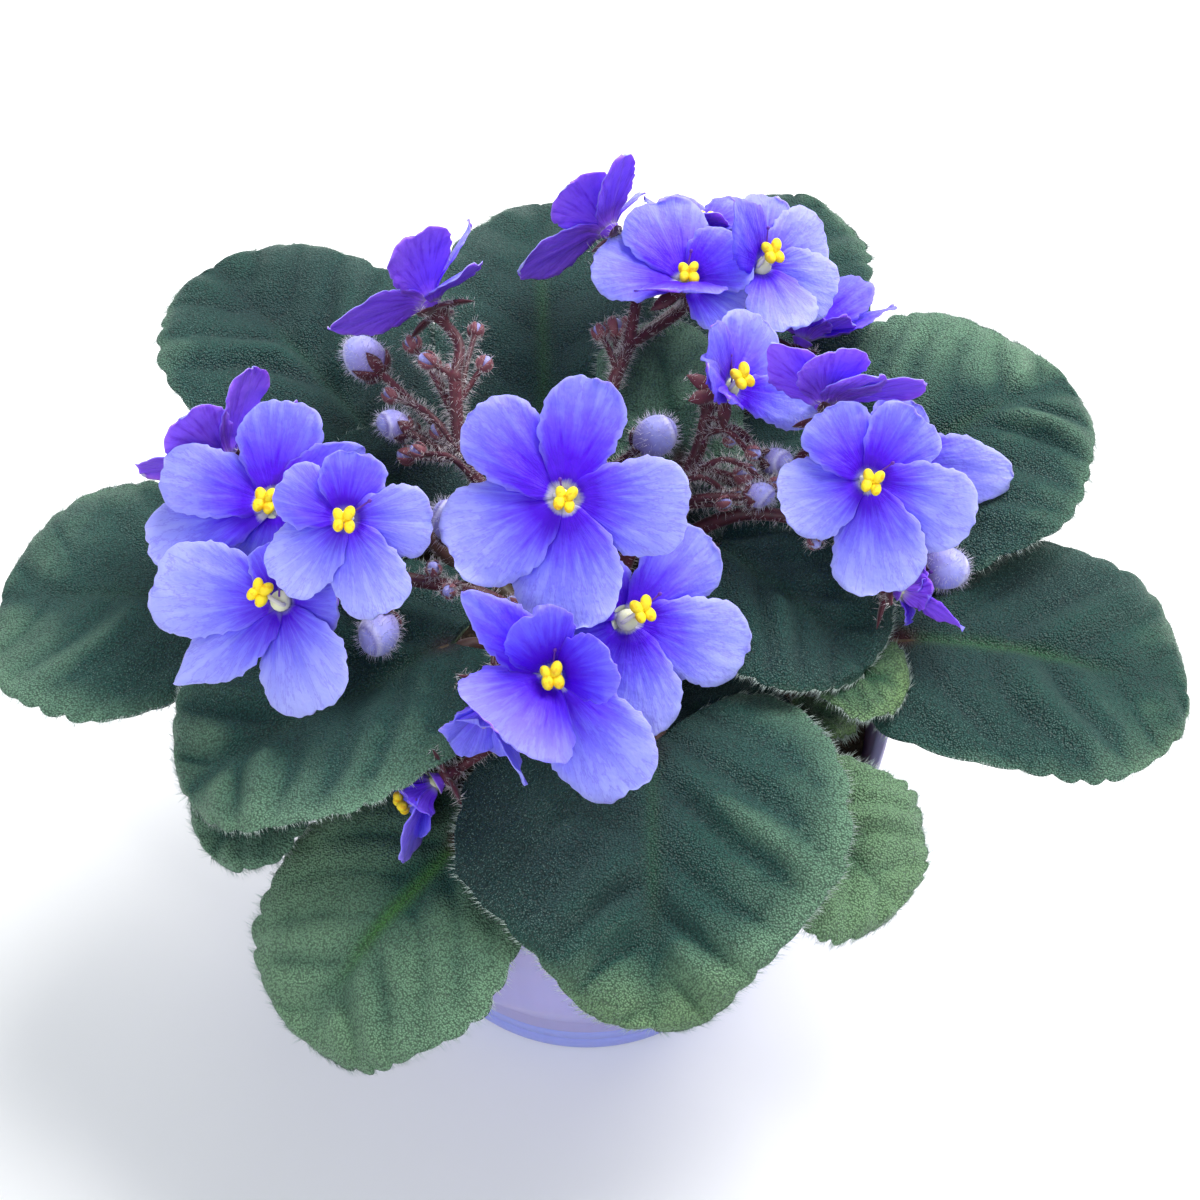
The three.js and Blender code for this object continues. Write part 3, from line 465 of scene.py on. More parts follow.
# Frosted plastic: faint upright streaks, clouds of the band's colour on the wall, and painted shade on the
# inner wall above the soil.
def potMaterial():
    look = potLook
    skin = skinNodes("frostedPot")
    lines = skin.noise(26, 2, 0.7, skin.lanes("ringX", "ringY"))
    cloud = skin.noise(30)
    colour = skin.mix(skin.tag("band"), look["wall"], look["band"])
    streaks = skin.ramp(skin.range(lines, 0.35, 0.65), (0.0, look["streakDark"]), (1.0, look["streakLight"]))
    colour = skin.mix(1.0, colour, streaks, "MULTIPLY")
    colour = skin.mix(skin.range(cloud, 0.35, 0.7, 0.0, 0.22), colour, look["band"])
    normal = skin.bump(skin.noise(1600, 2), 0.10, 0.0001, skin.bump(lines, 0.03, 0.0004))
    return skin.finish(
        Base_Color=skin.overlay(colour, look, "inside"), Normal=normal,
        Roughness=skin.range(cloud, 0.3, 0.7, 0.36, 0.46), Specular_IOR_Level=0.45, Subsurface_Weight=0.15,
        Subsurface_Scale=0.004)


peatLook = {"wet": (0.010, 0.006, 0.004), "damp": (0.045, 0.026, 0.016), "dry": (0.13, 0.085, 0.05)}


def soilMaterial():
    look = peatLook
    skin = skinNodes("dampPeat")
    fine = skin.noise(900, 4)
    return skin.finish(
        Base_Color=skin.ramp(fine, (0.30, look["wet"]), (0.55, look["damp"]), (0.78, look["dry"])),
        Normal=skin.bump(fine, 0.6, 0.0006, skin.bump(skin.cells(420), 0.7, 0.0009)),
        Roughness=skin.range(fine, 0.3, 0.7, 0.92, 0.72))


leafSkin, petalSkin, stalkSkin = leafMaterial(), petalMaterial(), stalkMaterial()
budSkin, antherSkin, potSkin, soilSkin = budMaterial(), antherMaterial(), potMaterial(), soilMaterial()
print("materials ready")


# Pot: profile turned round the axis. The profile runs up the outside and down the inside, in mm.
potValues = {
    "sides": 192, "floor": 2.4, "bandTop": 9.6, "bandFade": 0.6, "insideTop": 84, "insideFade": 4,
    "outer": [
        (39.4, 0.0), (40.3, 0.5), (40.5, 1.4), (40.5, 3.9), (40.15, 4.3), (40.15, 4.6), (40.5, 5.0),
        (40.5, 8.2), (40.2, 8.8), (39.9, 9.1), (40.6, 9.5), (41.4, 10.1), (41.7, 11.5), (42.6, 17.0),
        (44.8, 22.0), (48.8, 31.0), (52.8, 40.0), (54.9, 45.0), (56.0, 53.0), (57.3, 63.0), (58.6, 73.0),
        (59.8, 82.0), (60.3, 85.4), (60.9, 86.1), (61.9, 86.4), (62.2, 86.9), (62.2, 89.2), (61.8, 89.9)],
    "inner": [
        (61.0, 90.0), (60.2, 89.6), (59.2, 86.0), (58.8, 84.5), (56.0, 65.0), (53.3, 45.4), (47.2, 31.9),
        (40.6, 17.6), (39.0, 7.0), (38.4, 2.9), (37.9, 2.4)],
}


# Every step of the profile is halved, for even shading.
def buildPot():
    v = potValues
    corners = np.array(v["outer"] + v["inner"])
    profile = np.repeat(corners, 2, 0)[:-1]
    profile[1::2] = (corners[:-1] + corners[1:]) / 2
    radius, height = profile[:, :1], profile[:, 1:]
    a = ringAngles(v["sides"])
    rings = np.stack([radius * cos(a), radius * sin(a), height + 0 * a], -1)
    outer = np.arange(len(profile))[:, None] < 2 * len(v["outer"]) - 1
    tags = {
        "ringX": cos(a), "ringY": sin(a),
        "band": outer * smoothStep((v["bandTop"] - height) / v["bandFade"]),
        # Painted shade on the inner wall, fading out towards the rim.
        "inside": ~outer * smoothStep((v["insideTop"] - height) / v["insideFade"])}
    makePiece("nurseryPot", [shell(rings, [(0, 0, 0), (0, 0, v["floor"])], tags)], potSkin, ["pot"])


# Soil: rings of points from the wall to the crown hole, raised by crumbs of three sizes, and loose grains.
soilValues = {
    "seed": 5, "columns": 160, "rows": 52, "top": 82.0, "mound": 84.0, "foot": 2.8, "holeFoot": 62.2,
    "wallRadii": [10.0, 37.4, 38.0, 40.2, 46.8, 52.9, 55.6, 57.6],
    "wallHeights": [2.8, 2.8, 3.6, 17.6, 32.0, 45.4, 65.0, 79.6],
    "edgeRadius": 57.4, "holeEdge": 8.6, "holeRadii": [8.5, 8.4], "holeHeights": [81.5, 64.0],
    "crumbs": [(9.0, 0.8, 6), (3.2, 0.7, 9), (1.3, 0.55, 12)], "fineCrumbs": 0.35, "grains": 420,
}


# The surface rises from the wall and again towards the mound round the crown. A crumb size is a sum of sine
# waves of about that length in random directions.
def buildSoil():
    v = soilValues
    rng = np.random.default_rng(v["seed"])
    a = ringAngles(v["columns"])[None]

    def moundRise(radius):
        return (v["mound"] - v["top"]) * smoothStep((50 - radius) / 26)

    radius = np.linspace(v["edgeRadius"], v["holeEdge"], v["rows"])[:, None]
    height = v["top"] - 1.2 + 1.2 * smoothStep((v["edgeRadius"] - radius) / 6) + moundRise(radius)
    x, y = radius * cos(a), radius * sin(a)
    crumbs = np.zeros_like(x)
    for size, rise, count in v["crumbs"]:
        for _ in range(count):
            d = rng.random() * 2 * pi
            k = 2 * pi / (size * (0.7 + 0.6 * rng.random()))
            crumbs += rise / count * 1.7 * sin(k * (x * cos(d) + y * sin(d)) + rng.random() * 6.3)
    crumbs += v["fineCrumbs"] * rng.standard_normal(x.shape)
    edge = smoothStep((v["edgeRadius"] - radius) / 2) * smoothStep((radius - v["holeEdge"]) / 3)
    wallR, wallZ, holeR, holeZ = (np.array(v[key])[:, None] for key in (
        "wallRadii", "wallHeights", "holeRadii", "holeHeights"))
    r = np.concatenate([wallR, radius, holeR]) + 0 * a
    z = np.concatenate([wallZ + 0 * a, height + crumbs * edge - 0.5, holeZ + 0 * a])
    rings = np.stack([r * cos(a), r * sin(a), z], -1)
    parts = [shell(rings, [(0, 0, v["foot"]), (0, 0, v["holeFoot"])])]
    place = rng.random((v["grains"], 2))
    sizes = 0.5 + 1.1 * rng.random(v["grains"])
    for r, turn, size in zip(9 + 47 * np.sqrt(place[:, 0]), place[:, 1] * 2 * pi, sizes):
        spot = np.array([r * cos(turn), r * sin(turn), v["top"] - 0.6 + float(moundRise(r))])
        parts.append(eggPart(spot, rng.standard_normal(3), size, size * 1.4, 6, 3))
    makePiece("peatSoil", parts, soilSkin, ["soil"])


buildPot()
buildSoil()
print("pot and soil built")


# A bell curve, 1 at 0.
def bell(x):
    return np.exp(-x**2)


# A leaf has places of its blade's base and tip and a width, in mm, and by default these: roll in degrees,
# shares for arch, cup, basal lobes, ovate form and pointed tip, depth of the valley along the midrib in mm,
# side veins, relief, and the look: tone, partly the leaf's own green and partly painted light and shade, lit,
# the painted light and shade sloping across the blade, how the tip pales, midrib, spot, fresh green.
leafDefaults = dict(
    kind="large", roll=0, arch=0.08, cup=0.0, lobe=0.2, ovate=0.0, point=0.0, valley=1.3, veins=5, relief=0.7,
    tone=0.3, lit=0.0, paleTip=0.16, rib=0.3, spot=0.6, fresh=0.0)


def leafPlan(base, tip, width, **own):
    return {**leafDefaults, **own, "base": np.array(base, float), "tip": np.array(tip, float), "width": width}


leaves = {
    "front": leafPlan((13, -27, 102), (13, -79, 87), 70, roll=3, arch=0.10, cup=0.10, lobe=0.46,
        ovate=0.22, veins=4.5, relief=1.15, tone=0.34, rib=0.18, spot=0.2, point=0.2, lit=0.50, paleTip=0.7,
        fresh=0.05, seed=1),
    "front_left": leafPlan((-21.5, -41.5, 93.5), (-52, -76.5, 77.5), 50, arch=0.10, lobe=0.25,
        ovate=0.05, relief=0.6, tone=0.78, rib=1.0, spot=0.9, fresh=0.15, seed=2),
    "front_right": leafPlan((37, -35, 97), (59, -55, 88), 37, veins=4, relief=0.6, tone=0.98, fresh=0.35,
        seed=3),
    "right": leafPlan((61, 1.2, 97.3), (119, -10.5, 95), 57, lobe=0.36, ovate=-0.02, veins=4.5,
        relief=0.95, tone=0.26, rib=0.42, spot=0.8, lit=-0.06, paleTip=0.34, seed=4),
    "back_right": leafPlan((59, 39.5, 103), (102, 58, 112), 66, lobe=0.46, ovate=0.20, veins=4.5,
        relief=1.0, tone=0.62, rib=0.2, lit=0.30, seed=5),
    "inner_right": leafPlan((27, 14.5, 109.5), (54.5, -11.5, 105), 42, lobe=0.3, ovate=0.1, veins=4,
        relief=1.0, tone=0.17, rib=0.1, spot=0, seed=6),
    "small_right": leafPlan((49.5, -9.5, 102), (62.5, -14.5, 101.5), 19, lobe=0.3, ovate=0.1,
        kind="small", veins=3, relief=0.4, tone=0.66, spot=0.2, paleTip=0.3, fresh=0.6, seed=7),
    "tiny_right": leafPlan((42, -17, 97), (53.5, -14, 92), 10, ovate=0.1, kind="small", veins=3,
        relief=0.3, tone=0.8, rib=0.2, spot=0.2, fresh=0.8, seed=8),
    "left": leafPlan((-26, -6, 105), (-75.5, -35.5, 98), 54, arch=0.10, cup=0.15, lobe=0.52, ovate=0.14,
        relief=0.95, tone=0.52, rib=0.12, spot=0.3, valley=5.0, lit=0.16, seed=9),
    "low_left": leafPlan((-58, -33, 97), (-70.5, -45.5, 92), 23, ovate=0.1, kind="small", veins=3,
        relief=0.4, tone=0.6, rib=0.2, seed=10),
    "far_left": leafPlan((-70.5, 8, 99), (-119.5, 13, 95), 61, lobe=0.1, veins=4, relief=0.6, tone=0.49,
        rib=0.1, lit=0.10, seed=11),
    "back_left": leafPlan((-40, 42, 105), (-82.5, 91.5, 114), 56, ovate=0.08, relief=1.25, tone=0.32,
        rib=0.1, valley=4.6, lit=0.12, seed=12),
    "back": leafPlan((-8.5, 47, 106), (-10.5, 114.5, 112), 46, ovate=0.1, relief=0.5, tone=0.22,
        rib=0.35, seed=13),
    "back_far_right": leafPlan((34.5, 61.3, 103), (47.5, 117.8, 111), 44, ovate=0.12, relief=0.4,
        tone=0.34, rib=0.1, seed=14),
    "inner_back": leafPlan((19.5, 33.5, 112), (14.5, 70, 118), 30, lobe=0.3, ovate=0.1, kind="small",
        veins=4, relief=0.6, tone=0.85, rib=0.2, seed=15),
    "inner_left": leafPlan((-31.5, 21.5, 109), (-51, 41, 112.5), 30, ovate=0.1, kind="small", veins=4,
        relief=0.6, tone=0.10, rib=0.4, seed=16),
}
# Young leaves low in the crown, seen only between the stalks; their low tone is painted shade
# deep in the crown.
young = dict(kind="small", lobe=0.3, ovate=0.1, relief=0.4, rib=0.1, spot=0)
youngLeaves = {
    "leafYoungLeft": leafPlan((-22, 42, 98.5), (-36, 84, 101), 31, tone=0.14, seed=17, **young),
    "leafYoungBack": leafPlan((9, 46, 101), (14.5, 94, 102), 29, tone=0.12, seed=18, **young),
    "leafYoungFront": leafPlan((19, -14, 95.5), (45, -29, 92), 24, tone=0.20, seed=20, **young),
    "leafYoungRight": leafPlan((24, 25, 101.5), (45.5, 55, 102), 31, tone=0.12, seed=19, **young),
}
leafKinds = {
    "large": dict(size=1.0, teeth=15, rows=104, columns=36, hairs=1300, marginHairs=950, stalk=1.0),
    "small": dict(size=0.7, teeth=8, rows=64, columns=25, hairs=650, marginHairs=380, stalk=0.75),
}
leafValues = {
    "thickness": 1.2, "marginThickness": 0.7, "scallopDepth": 1.6, "bulge": 0.3, "marginDrop": 0.9,
    "underRelief": 0.8, "quiltHeight": 2.5, "veinDepth": 0.7, "veinWidth": 0.8, "veinSlant": 0.60,
    "veinBend": 0.30, "ribDepth": 0.75, "ribWidth": 1.1, "valleyWidth": 7.5, "hairSeed": 100, "hairWidth": 56,
    "hairLength": 0.6, "hairThickness": 0.055, "hairPale": 0.30, "marginHairLength": 2.1,
    "marginHairThickness": 0.06325, "marginHairTone": 0.8, "marginRootPale": 0.6,
}


# Along the blade, across it and out of its face.
def leafAxes(leaf):
    x = unit(leaf["tip"] - leaf["base"])
    y0 = unit(np.cross([0, 0, 1], x))
    n0 = np.cross(x, y0)
    roll = np.radians(leaf["roll"])
    return x, y0 * cos(roll) + n0 * sin(roll), n0 * cos(roll) - y0 * sin(roll)


# Blade: turn runs from 0 at the base to pi at the tip, reach from the midrib at 0 to the margins at 1 and -1.
# The margin goes forward with (1 - cos turn) / 2, bulges back into lobes near the base, spreads with sin turn
# and is scalloped. Rise is an arch along the length, a cup across it, a valley along the midrib, and relief:
# a sunken midrib, slanting side veins, quilting between them, and slow waves. Level is 1 above and -1 below.
def leafSheet(leaf, turn, reach, level):
    v, kind = leafValues, leafKinds[leaf["kind"]]
    p = np.random.default_rng(leaf["seed"]).random(12) * 6.3
    length, half, size = np.linalg.norm(leaf["tip"] - leaf["base"]), leaf["width"] / 2, kind["size"]
    x, y, n = leafAxes(leaf)
    m, hand = np.minimum(np.abs(reach), 1), np.sign(reach)
    t = (1 - cos(turn)) / 2
    back = np.maximum(0, sin(2 * turn)) * np.maximum(0, 1 - turn / (pi / 2))
    beyond = np.clip(turn / (pi / 2) - 1, 0, 1)
    marginX = length * t - leaf["lobe"] * length * back
    marginY = half * np.maximum(sin(turn), 0) ** 0.9 * (1 + leaf["ovate"] * cos(turn))
    marginY = marginY * (1 - leaf["point"] * sin(pi * beyond))
    foot = length * 0.98 * t**1.25
    wobble = turn + 0.035 * sin(4 * turn + p[0] + hand) + 0.012 * sin(11 * turn + p[9])
    scallop = 2 * np.abs(sin(kind["teeth"] * wobble)) ** 0.75 - 1
    scallop = scallop * (0.62 + 0.38 * sin(5.7 * turn + p[10] + 2 * hand))
    scallop = scallop + 0.7 * sin(6.3 * turn + p[1] + 2 * hand)
    grown = reach * (1 + v["scallopDepth"] * size / 2 / np.maximum(4, half * sin(turn)) * scallop * m**3)
    along = foot + np.abs(grown) * (marginX - foot)
    across = grown * marginY
    s, a = np.clip(along / length, -0.3, 1), np.abs(across)
    spacing = length / leaf["veins"]
    phase = (along - v["veinSlant"] * a - v["veinBend"] * a * a / half) / spacing + 0.22 * hand
    phase = phase + 0.09 * sin(a / 4.5 + p[2] + hand) + 0.07 * sin(along / 6 + p[9])
    near = np.abs(phase - np.round(phase)) * spacing * 0.8
    inner, edge = smoothStep(a / half / 0.16), 1 - m**5
    vein = bell(near / v["veinWidth"]) * inner * edge
    quilt = (0.5 - 0.5 * cos(2 * pi * phase)) * inner * edge
    quilt = quilt * (0.58 + 0.42 * sin(2.3 * phase + p[10] + 2 * hand))
    quilt = quilt * (0.72 + 0.28 * sin(a / 5 + p[11] + 1.7 * phase))
    rib = bell(a / v["ribWidth"]) * np.clip(1.15 - s, 0, 1) * smoothStep((s + 0.02) / 0.05)
    waves = (0.55 * sin(3.1 * turn + p[3] + 1.3 * hand) + 0.35 * sin(5.3 * turn + p[4] - hand)) * m**2
    waves = waves + 0.75 * sin(along / 7.5 + p[5]) * sin(across / 6.5 + p[6])
    fine = 0.35 * sin(along / 3.6 + 1.2 * sin(across / 6.2 + p[8])) * sin(across / 4.4 + p[11])
    lumps = 0.12 * sin(along / 1.5 + p[7] + sin(across / 2.1)) * sin(across / 1.7 + p[8])
    relief = leaf["relief"] * (v["quiltHeight"] * quilt - v["veinDepth"] * vein) - v["ribDepth"] * rib
    relief = size * (relief + waves + (fine + lumps) * edge - v["marginDrop"] * m**8)
    valley = bell(a / v["valleyWidth"]) * np.clip(1.2 - s, 0, 1) * smoothStep((s - 0.06) / 0.3)
    rise = leaf["arch"] * length * 4 * s * (1 - s) + leaf["cup"] * half * (across / half) ** 2
    thick = v["thickness"] + (v["marginThickness"] - v["thickness"]) * m**4
    lift = level * thick / 2 + relief * np.where(level > 0, 1.0, v["underRelief"])
    rise = rise - size * leaf["valley"] * valley + lift
    points = leaf["base"] + along[..., None] * x + across[..., None] * y + rise[..., None] * n
    return points, (s, m, a, along, across / half, vein, rib, quilt)


# Tone is paler at margin and tip, and carries painted light and shade on the blade.
def leafTags(leaf, facts, under):
    s, m, a, along, side, vein, rib, quilt = facts
    # Painted light: lit makes one half of the blade paler and the other darker.
    tone = leaf["tone"] + leaf["lit"] * side + 0.38 * m**6 + leaf["paleTip"] * smoothStep((s - 0.55) / 0.45)
    # Painted highlight on the quilting crests, painted shade in its hollows, in the veins and in the midrib's
    # groove.
    tone = tone + leaf["relief"] * (0.26 * (quilt - 0.5) - 0.16 * vein) - 0.30 * (1 - leaf["rib"]) * rib
    # Painted shade near the midrib and near the base, deep in the crown.
    tone = tone - 0.14 * (1 - smoothStep(m / 0.4)) - 0.16 * (1 - smoothStep(s / 0.6))
    tags = {
        "tone": tone, "fresh": leaf["fresh"] + 0.6 * leaf["paleTip"] * smoothStep((s - 0.7) / 0.3),
        "spot": 1.5 * leaf["spot"] * bell((along - 1.5) / 3.2) * bell(a / 2.2),
        "rib": leaf["rib"] * bell(a / 1.5) * smoothStep(s / 0.08) * (1 - smoothStep((s - 0.45) / 0.4)),
        # Share of pale hair tips and painted glints, growing towards the margin.
        "frost": 0.35 + 0.65 * smoothStep((m - 0.2) / 0.6), "under": under}
    return {key: np.clip(value, 0, 1) for key, value in tags.items()}


# Rings go over the upper face, round the margin and back under the lower face.
def buildLeaf(name, leaf, nodes):
    v, kind = leafValues, leafKinds[leaf["kind"]]
    rng = np.random.default_rng(v["hairSeed"] + leaf["seed"])
    x, y, n = leafAxes(leaf)
    turn = np.linspace(0, pi, kind["rows"] + 2)[1:-1][:, None]
    u = np.linspace(1, -1, kind["columns"])
    top = np.sign(u) * np.abs(u) ** 1.25 + 0 * turn
    rim = 1 + v["bulge"] / np.maximum(5, leaf["width"] / 2 * sin(turn))
    reach = np.concatenate([top, -rim, -top, rim], 1)
    level = np.concatenate([1 + 0 * top, 0 * rim, -1 + 0 * top, 0 * rim], 1)
    points, facts = leafSheet(leaf, turn + 0 * reach, reach, level)
    ends, _ = leafSheet(leaf, np.array([1e-4, pi - 1e-4]), np.array([0.0, 1.0]), np.zeros(2))
    blade = shell(points, ends, leafTags(leaf, facts, level < 0))
    # Fine hairs over the upper face, leaning outwards.
    count = int(kind["hairs"] * leaf["width"] / v["hairWidth"])
    turns = np.arccos(1 - 2 * rng.random(count)) * 0.98 + 0.02
    reaches = np.sign(rng.random(count) - 0.5) * rng.random(count) ** 0.48
    upper = np.ones(count)
    root = leafSheet(leaf, turns, reaches, upper)[0]
    ahead = leafSheet(leaf, turns + 0.01, reaches, upper)[0]
    aside = leafSheet(leaf, turns, reaches + 0.01, upper)[0]
    normal = unit(np.cross(ahead - root, aside - root))
    normal = normal * np.sign(normal @ n)[:, None]
    outward = unit(y * reaches[:, None] + x * (0.35 + 0.4 * rng.random((count, 1))))
    lean = normal * 0.55 + outward * 0.75 + 0.30 * rng.standard_normal((count, 3))
    lengths = v["hairLength"] * (0.6 + 0.8 * rng.random(count))
    velvet = spikes(root, lean, lengths, v["hairThickness"], {"tone": leaf["tone"]}, v["hairPale"])
    # Longer hairs along the margin.
    count = kind["marginHairs"]
    turns = pi * (0.04 + 0.96 * rng.random(count))
    hands = np.sign(rng.random(count) - 0.5)
    root, outer = (leafSheet(leaf, turns, hands * reach, np.zeros(count))[0] for reach in (0.995, 1.05))
    lean = unit(outer - root) + n * (0.22 * rng.standard_normal((count, 1)) + 0.05)
    lean = lean + 0.20 * rng.standard_normal((count, 3))
    lengths = v["marginHairLength"] * (0.45 + 0.8 * rng.random(count))
    fringe = spikes(root, lean, lengths, v["marginHairThickness"], {"tone": v["marginHairTone"]},
                    rootPale=v["marginRootPale"])
    makePiece(name, [blade, velvet, fringe], leafSkin, nodes)


def camel(name):
    words = name.split("_")
    return words[0] + "".join(word.capitalize() for word in words[1:])


for key, leaf in leaves.items():
    buildLeaf(camel("leaf_" + key), leaf, ["leaf_" + key])
for name, leaf in youngLeaves.items():
    buildLeaf(name, leaf, ())
print("leaves built:", sum(pieceTriangles.values()), "triangles so far")


# Crown: a ringed stem, as radius and height up its outside, and a hairy stalk to every leaf.
crownValues = {
    "seed": 21, "stemSeed": 3, "stemSides": 36, "stemKnobs": 0.02, "stemGreen": 0.55,
    "stem": [(3.0, 62.4), (5.0, 64), (8.0, 68), (8.1, 76), (8.1, 84), (9.0, 86.5), (10.3, 88), (10.0, 90),
             (10.4, 92), (10.1, 94), (8.6, 95.5), (6.0, 96)],
    "stalkRadius": 2.1, "stalkPoints": 28, "stalkSides": 16, "rootGreen": 0.40, "bladeGreen": 0.08,
    "hairs": 170, "hairLength": 1.5, "bladeSink": 1.7, "ribPoints": 26, "ribSides": 10, "ribGreen": 0.35,
    "ribTip": 0.18,
}


def buildCrown():
    v = crownValues
    rng = np.random.default_rng(v["seed"])
    stemRadii, heights = np.array(v["stem"]).T
    stem = np.stack([0 * heights, 0 * heights, heights], 1)
    green = {"green": v["stemGreen"]}
    parts = [tubePart(stem, stemRadii, v["stemSides"], green, knobs=v["stemKnobs"], seed=v["stemSeed"])]
    for leaf in [*leaves.values(), *youngLeaves.values()]:
        x, _, n = leafAxes(leaf)
        base = leaf["base"]
        radius = v["stalkRadius"] * leafKinds[leaf["kind"]]["stalk"]
        under = v["bladeSink"] + radius
        end = base + x * 3 - n * (under - 1)
        before = base - x * 5 - n * (under + 1.6)
        heading = unit(np.array([base[0], base[1], 0.0]))
        start, leaving = np.array([0, 0, 88.0]) + heading * 5, np.array([0, 0, 89.0]) + heading * 13
        line = pathLine([start, leaving, before, end], v["stalkPoints"])
        radii = np.linspace(radius + 0.3, radius, v["stalkPoints"])
        green = {"green": np.linspace(v["rootGreen"], v["bladeGreen"], v["stalkPoints"])[:, None]}
        parts += hairyTube(line, radii, v["stalkSides"], v["hairs"], v["hairLength"], rng, tags=green)
        # The rib goes on under the blade and fades out.
        share = np.linspace(0, 1, v["ribPoints"])
        rib = leafSheet(leaf, 0.25 + share * 2.1, 0 * share, -np.ones(v["ribPoints"]))[0] - n * 0.35
        line = np.concatenate([end[None], rib])
        radii = np.concatenate([[radius * 0.8], radius * 0.72 * (1 - share) ** 0.8 + v["ribTip"]])
        parts.append(tubePart(line, radii, v["ribSides"], {"green": v["ribGreen"]}))
    makePiece("crownAndLeafStalks", parts, stalkSkin, ["crown"])


buildCrown()
print("crown built")


# A bloom has its throat's centre in mm, the way its face points as compass angle and height in degrees, and
# each petal's turn, length, width, rise and point. By default it has these: the anthers' place as right, up
# and out, radius of the ovary, turn and length of the style, how far the colours shift towards the pale end,
# how much the backs are washed out, where the stalk bends, and the share of the spray's stalk where it
# leaves.
bloomDefaults = dict(anthers=(0, 0, 3), ovary=1.5, style=None, violet=0.0, washed=0.0, bend=None, leaves=1.0)


def bloomPlan(at, face, **own):
    return {**bloomDefaults, **own, "at": np.array(at, float), "face": face}


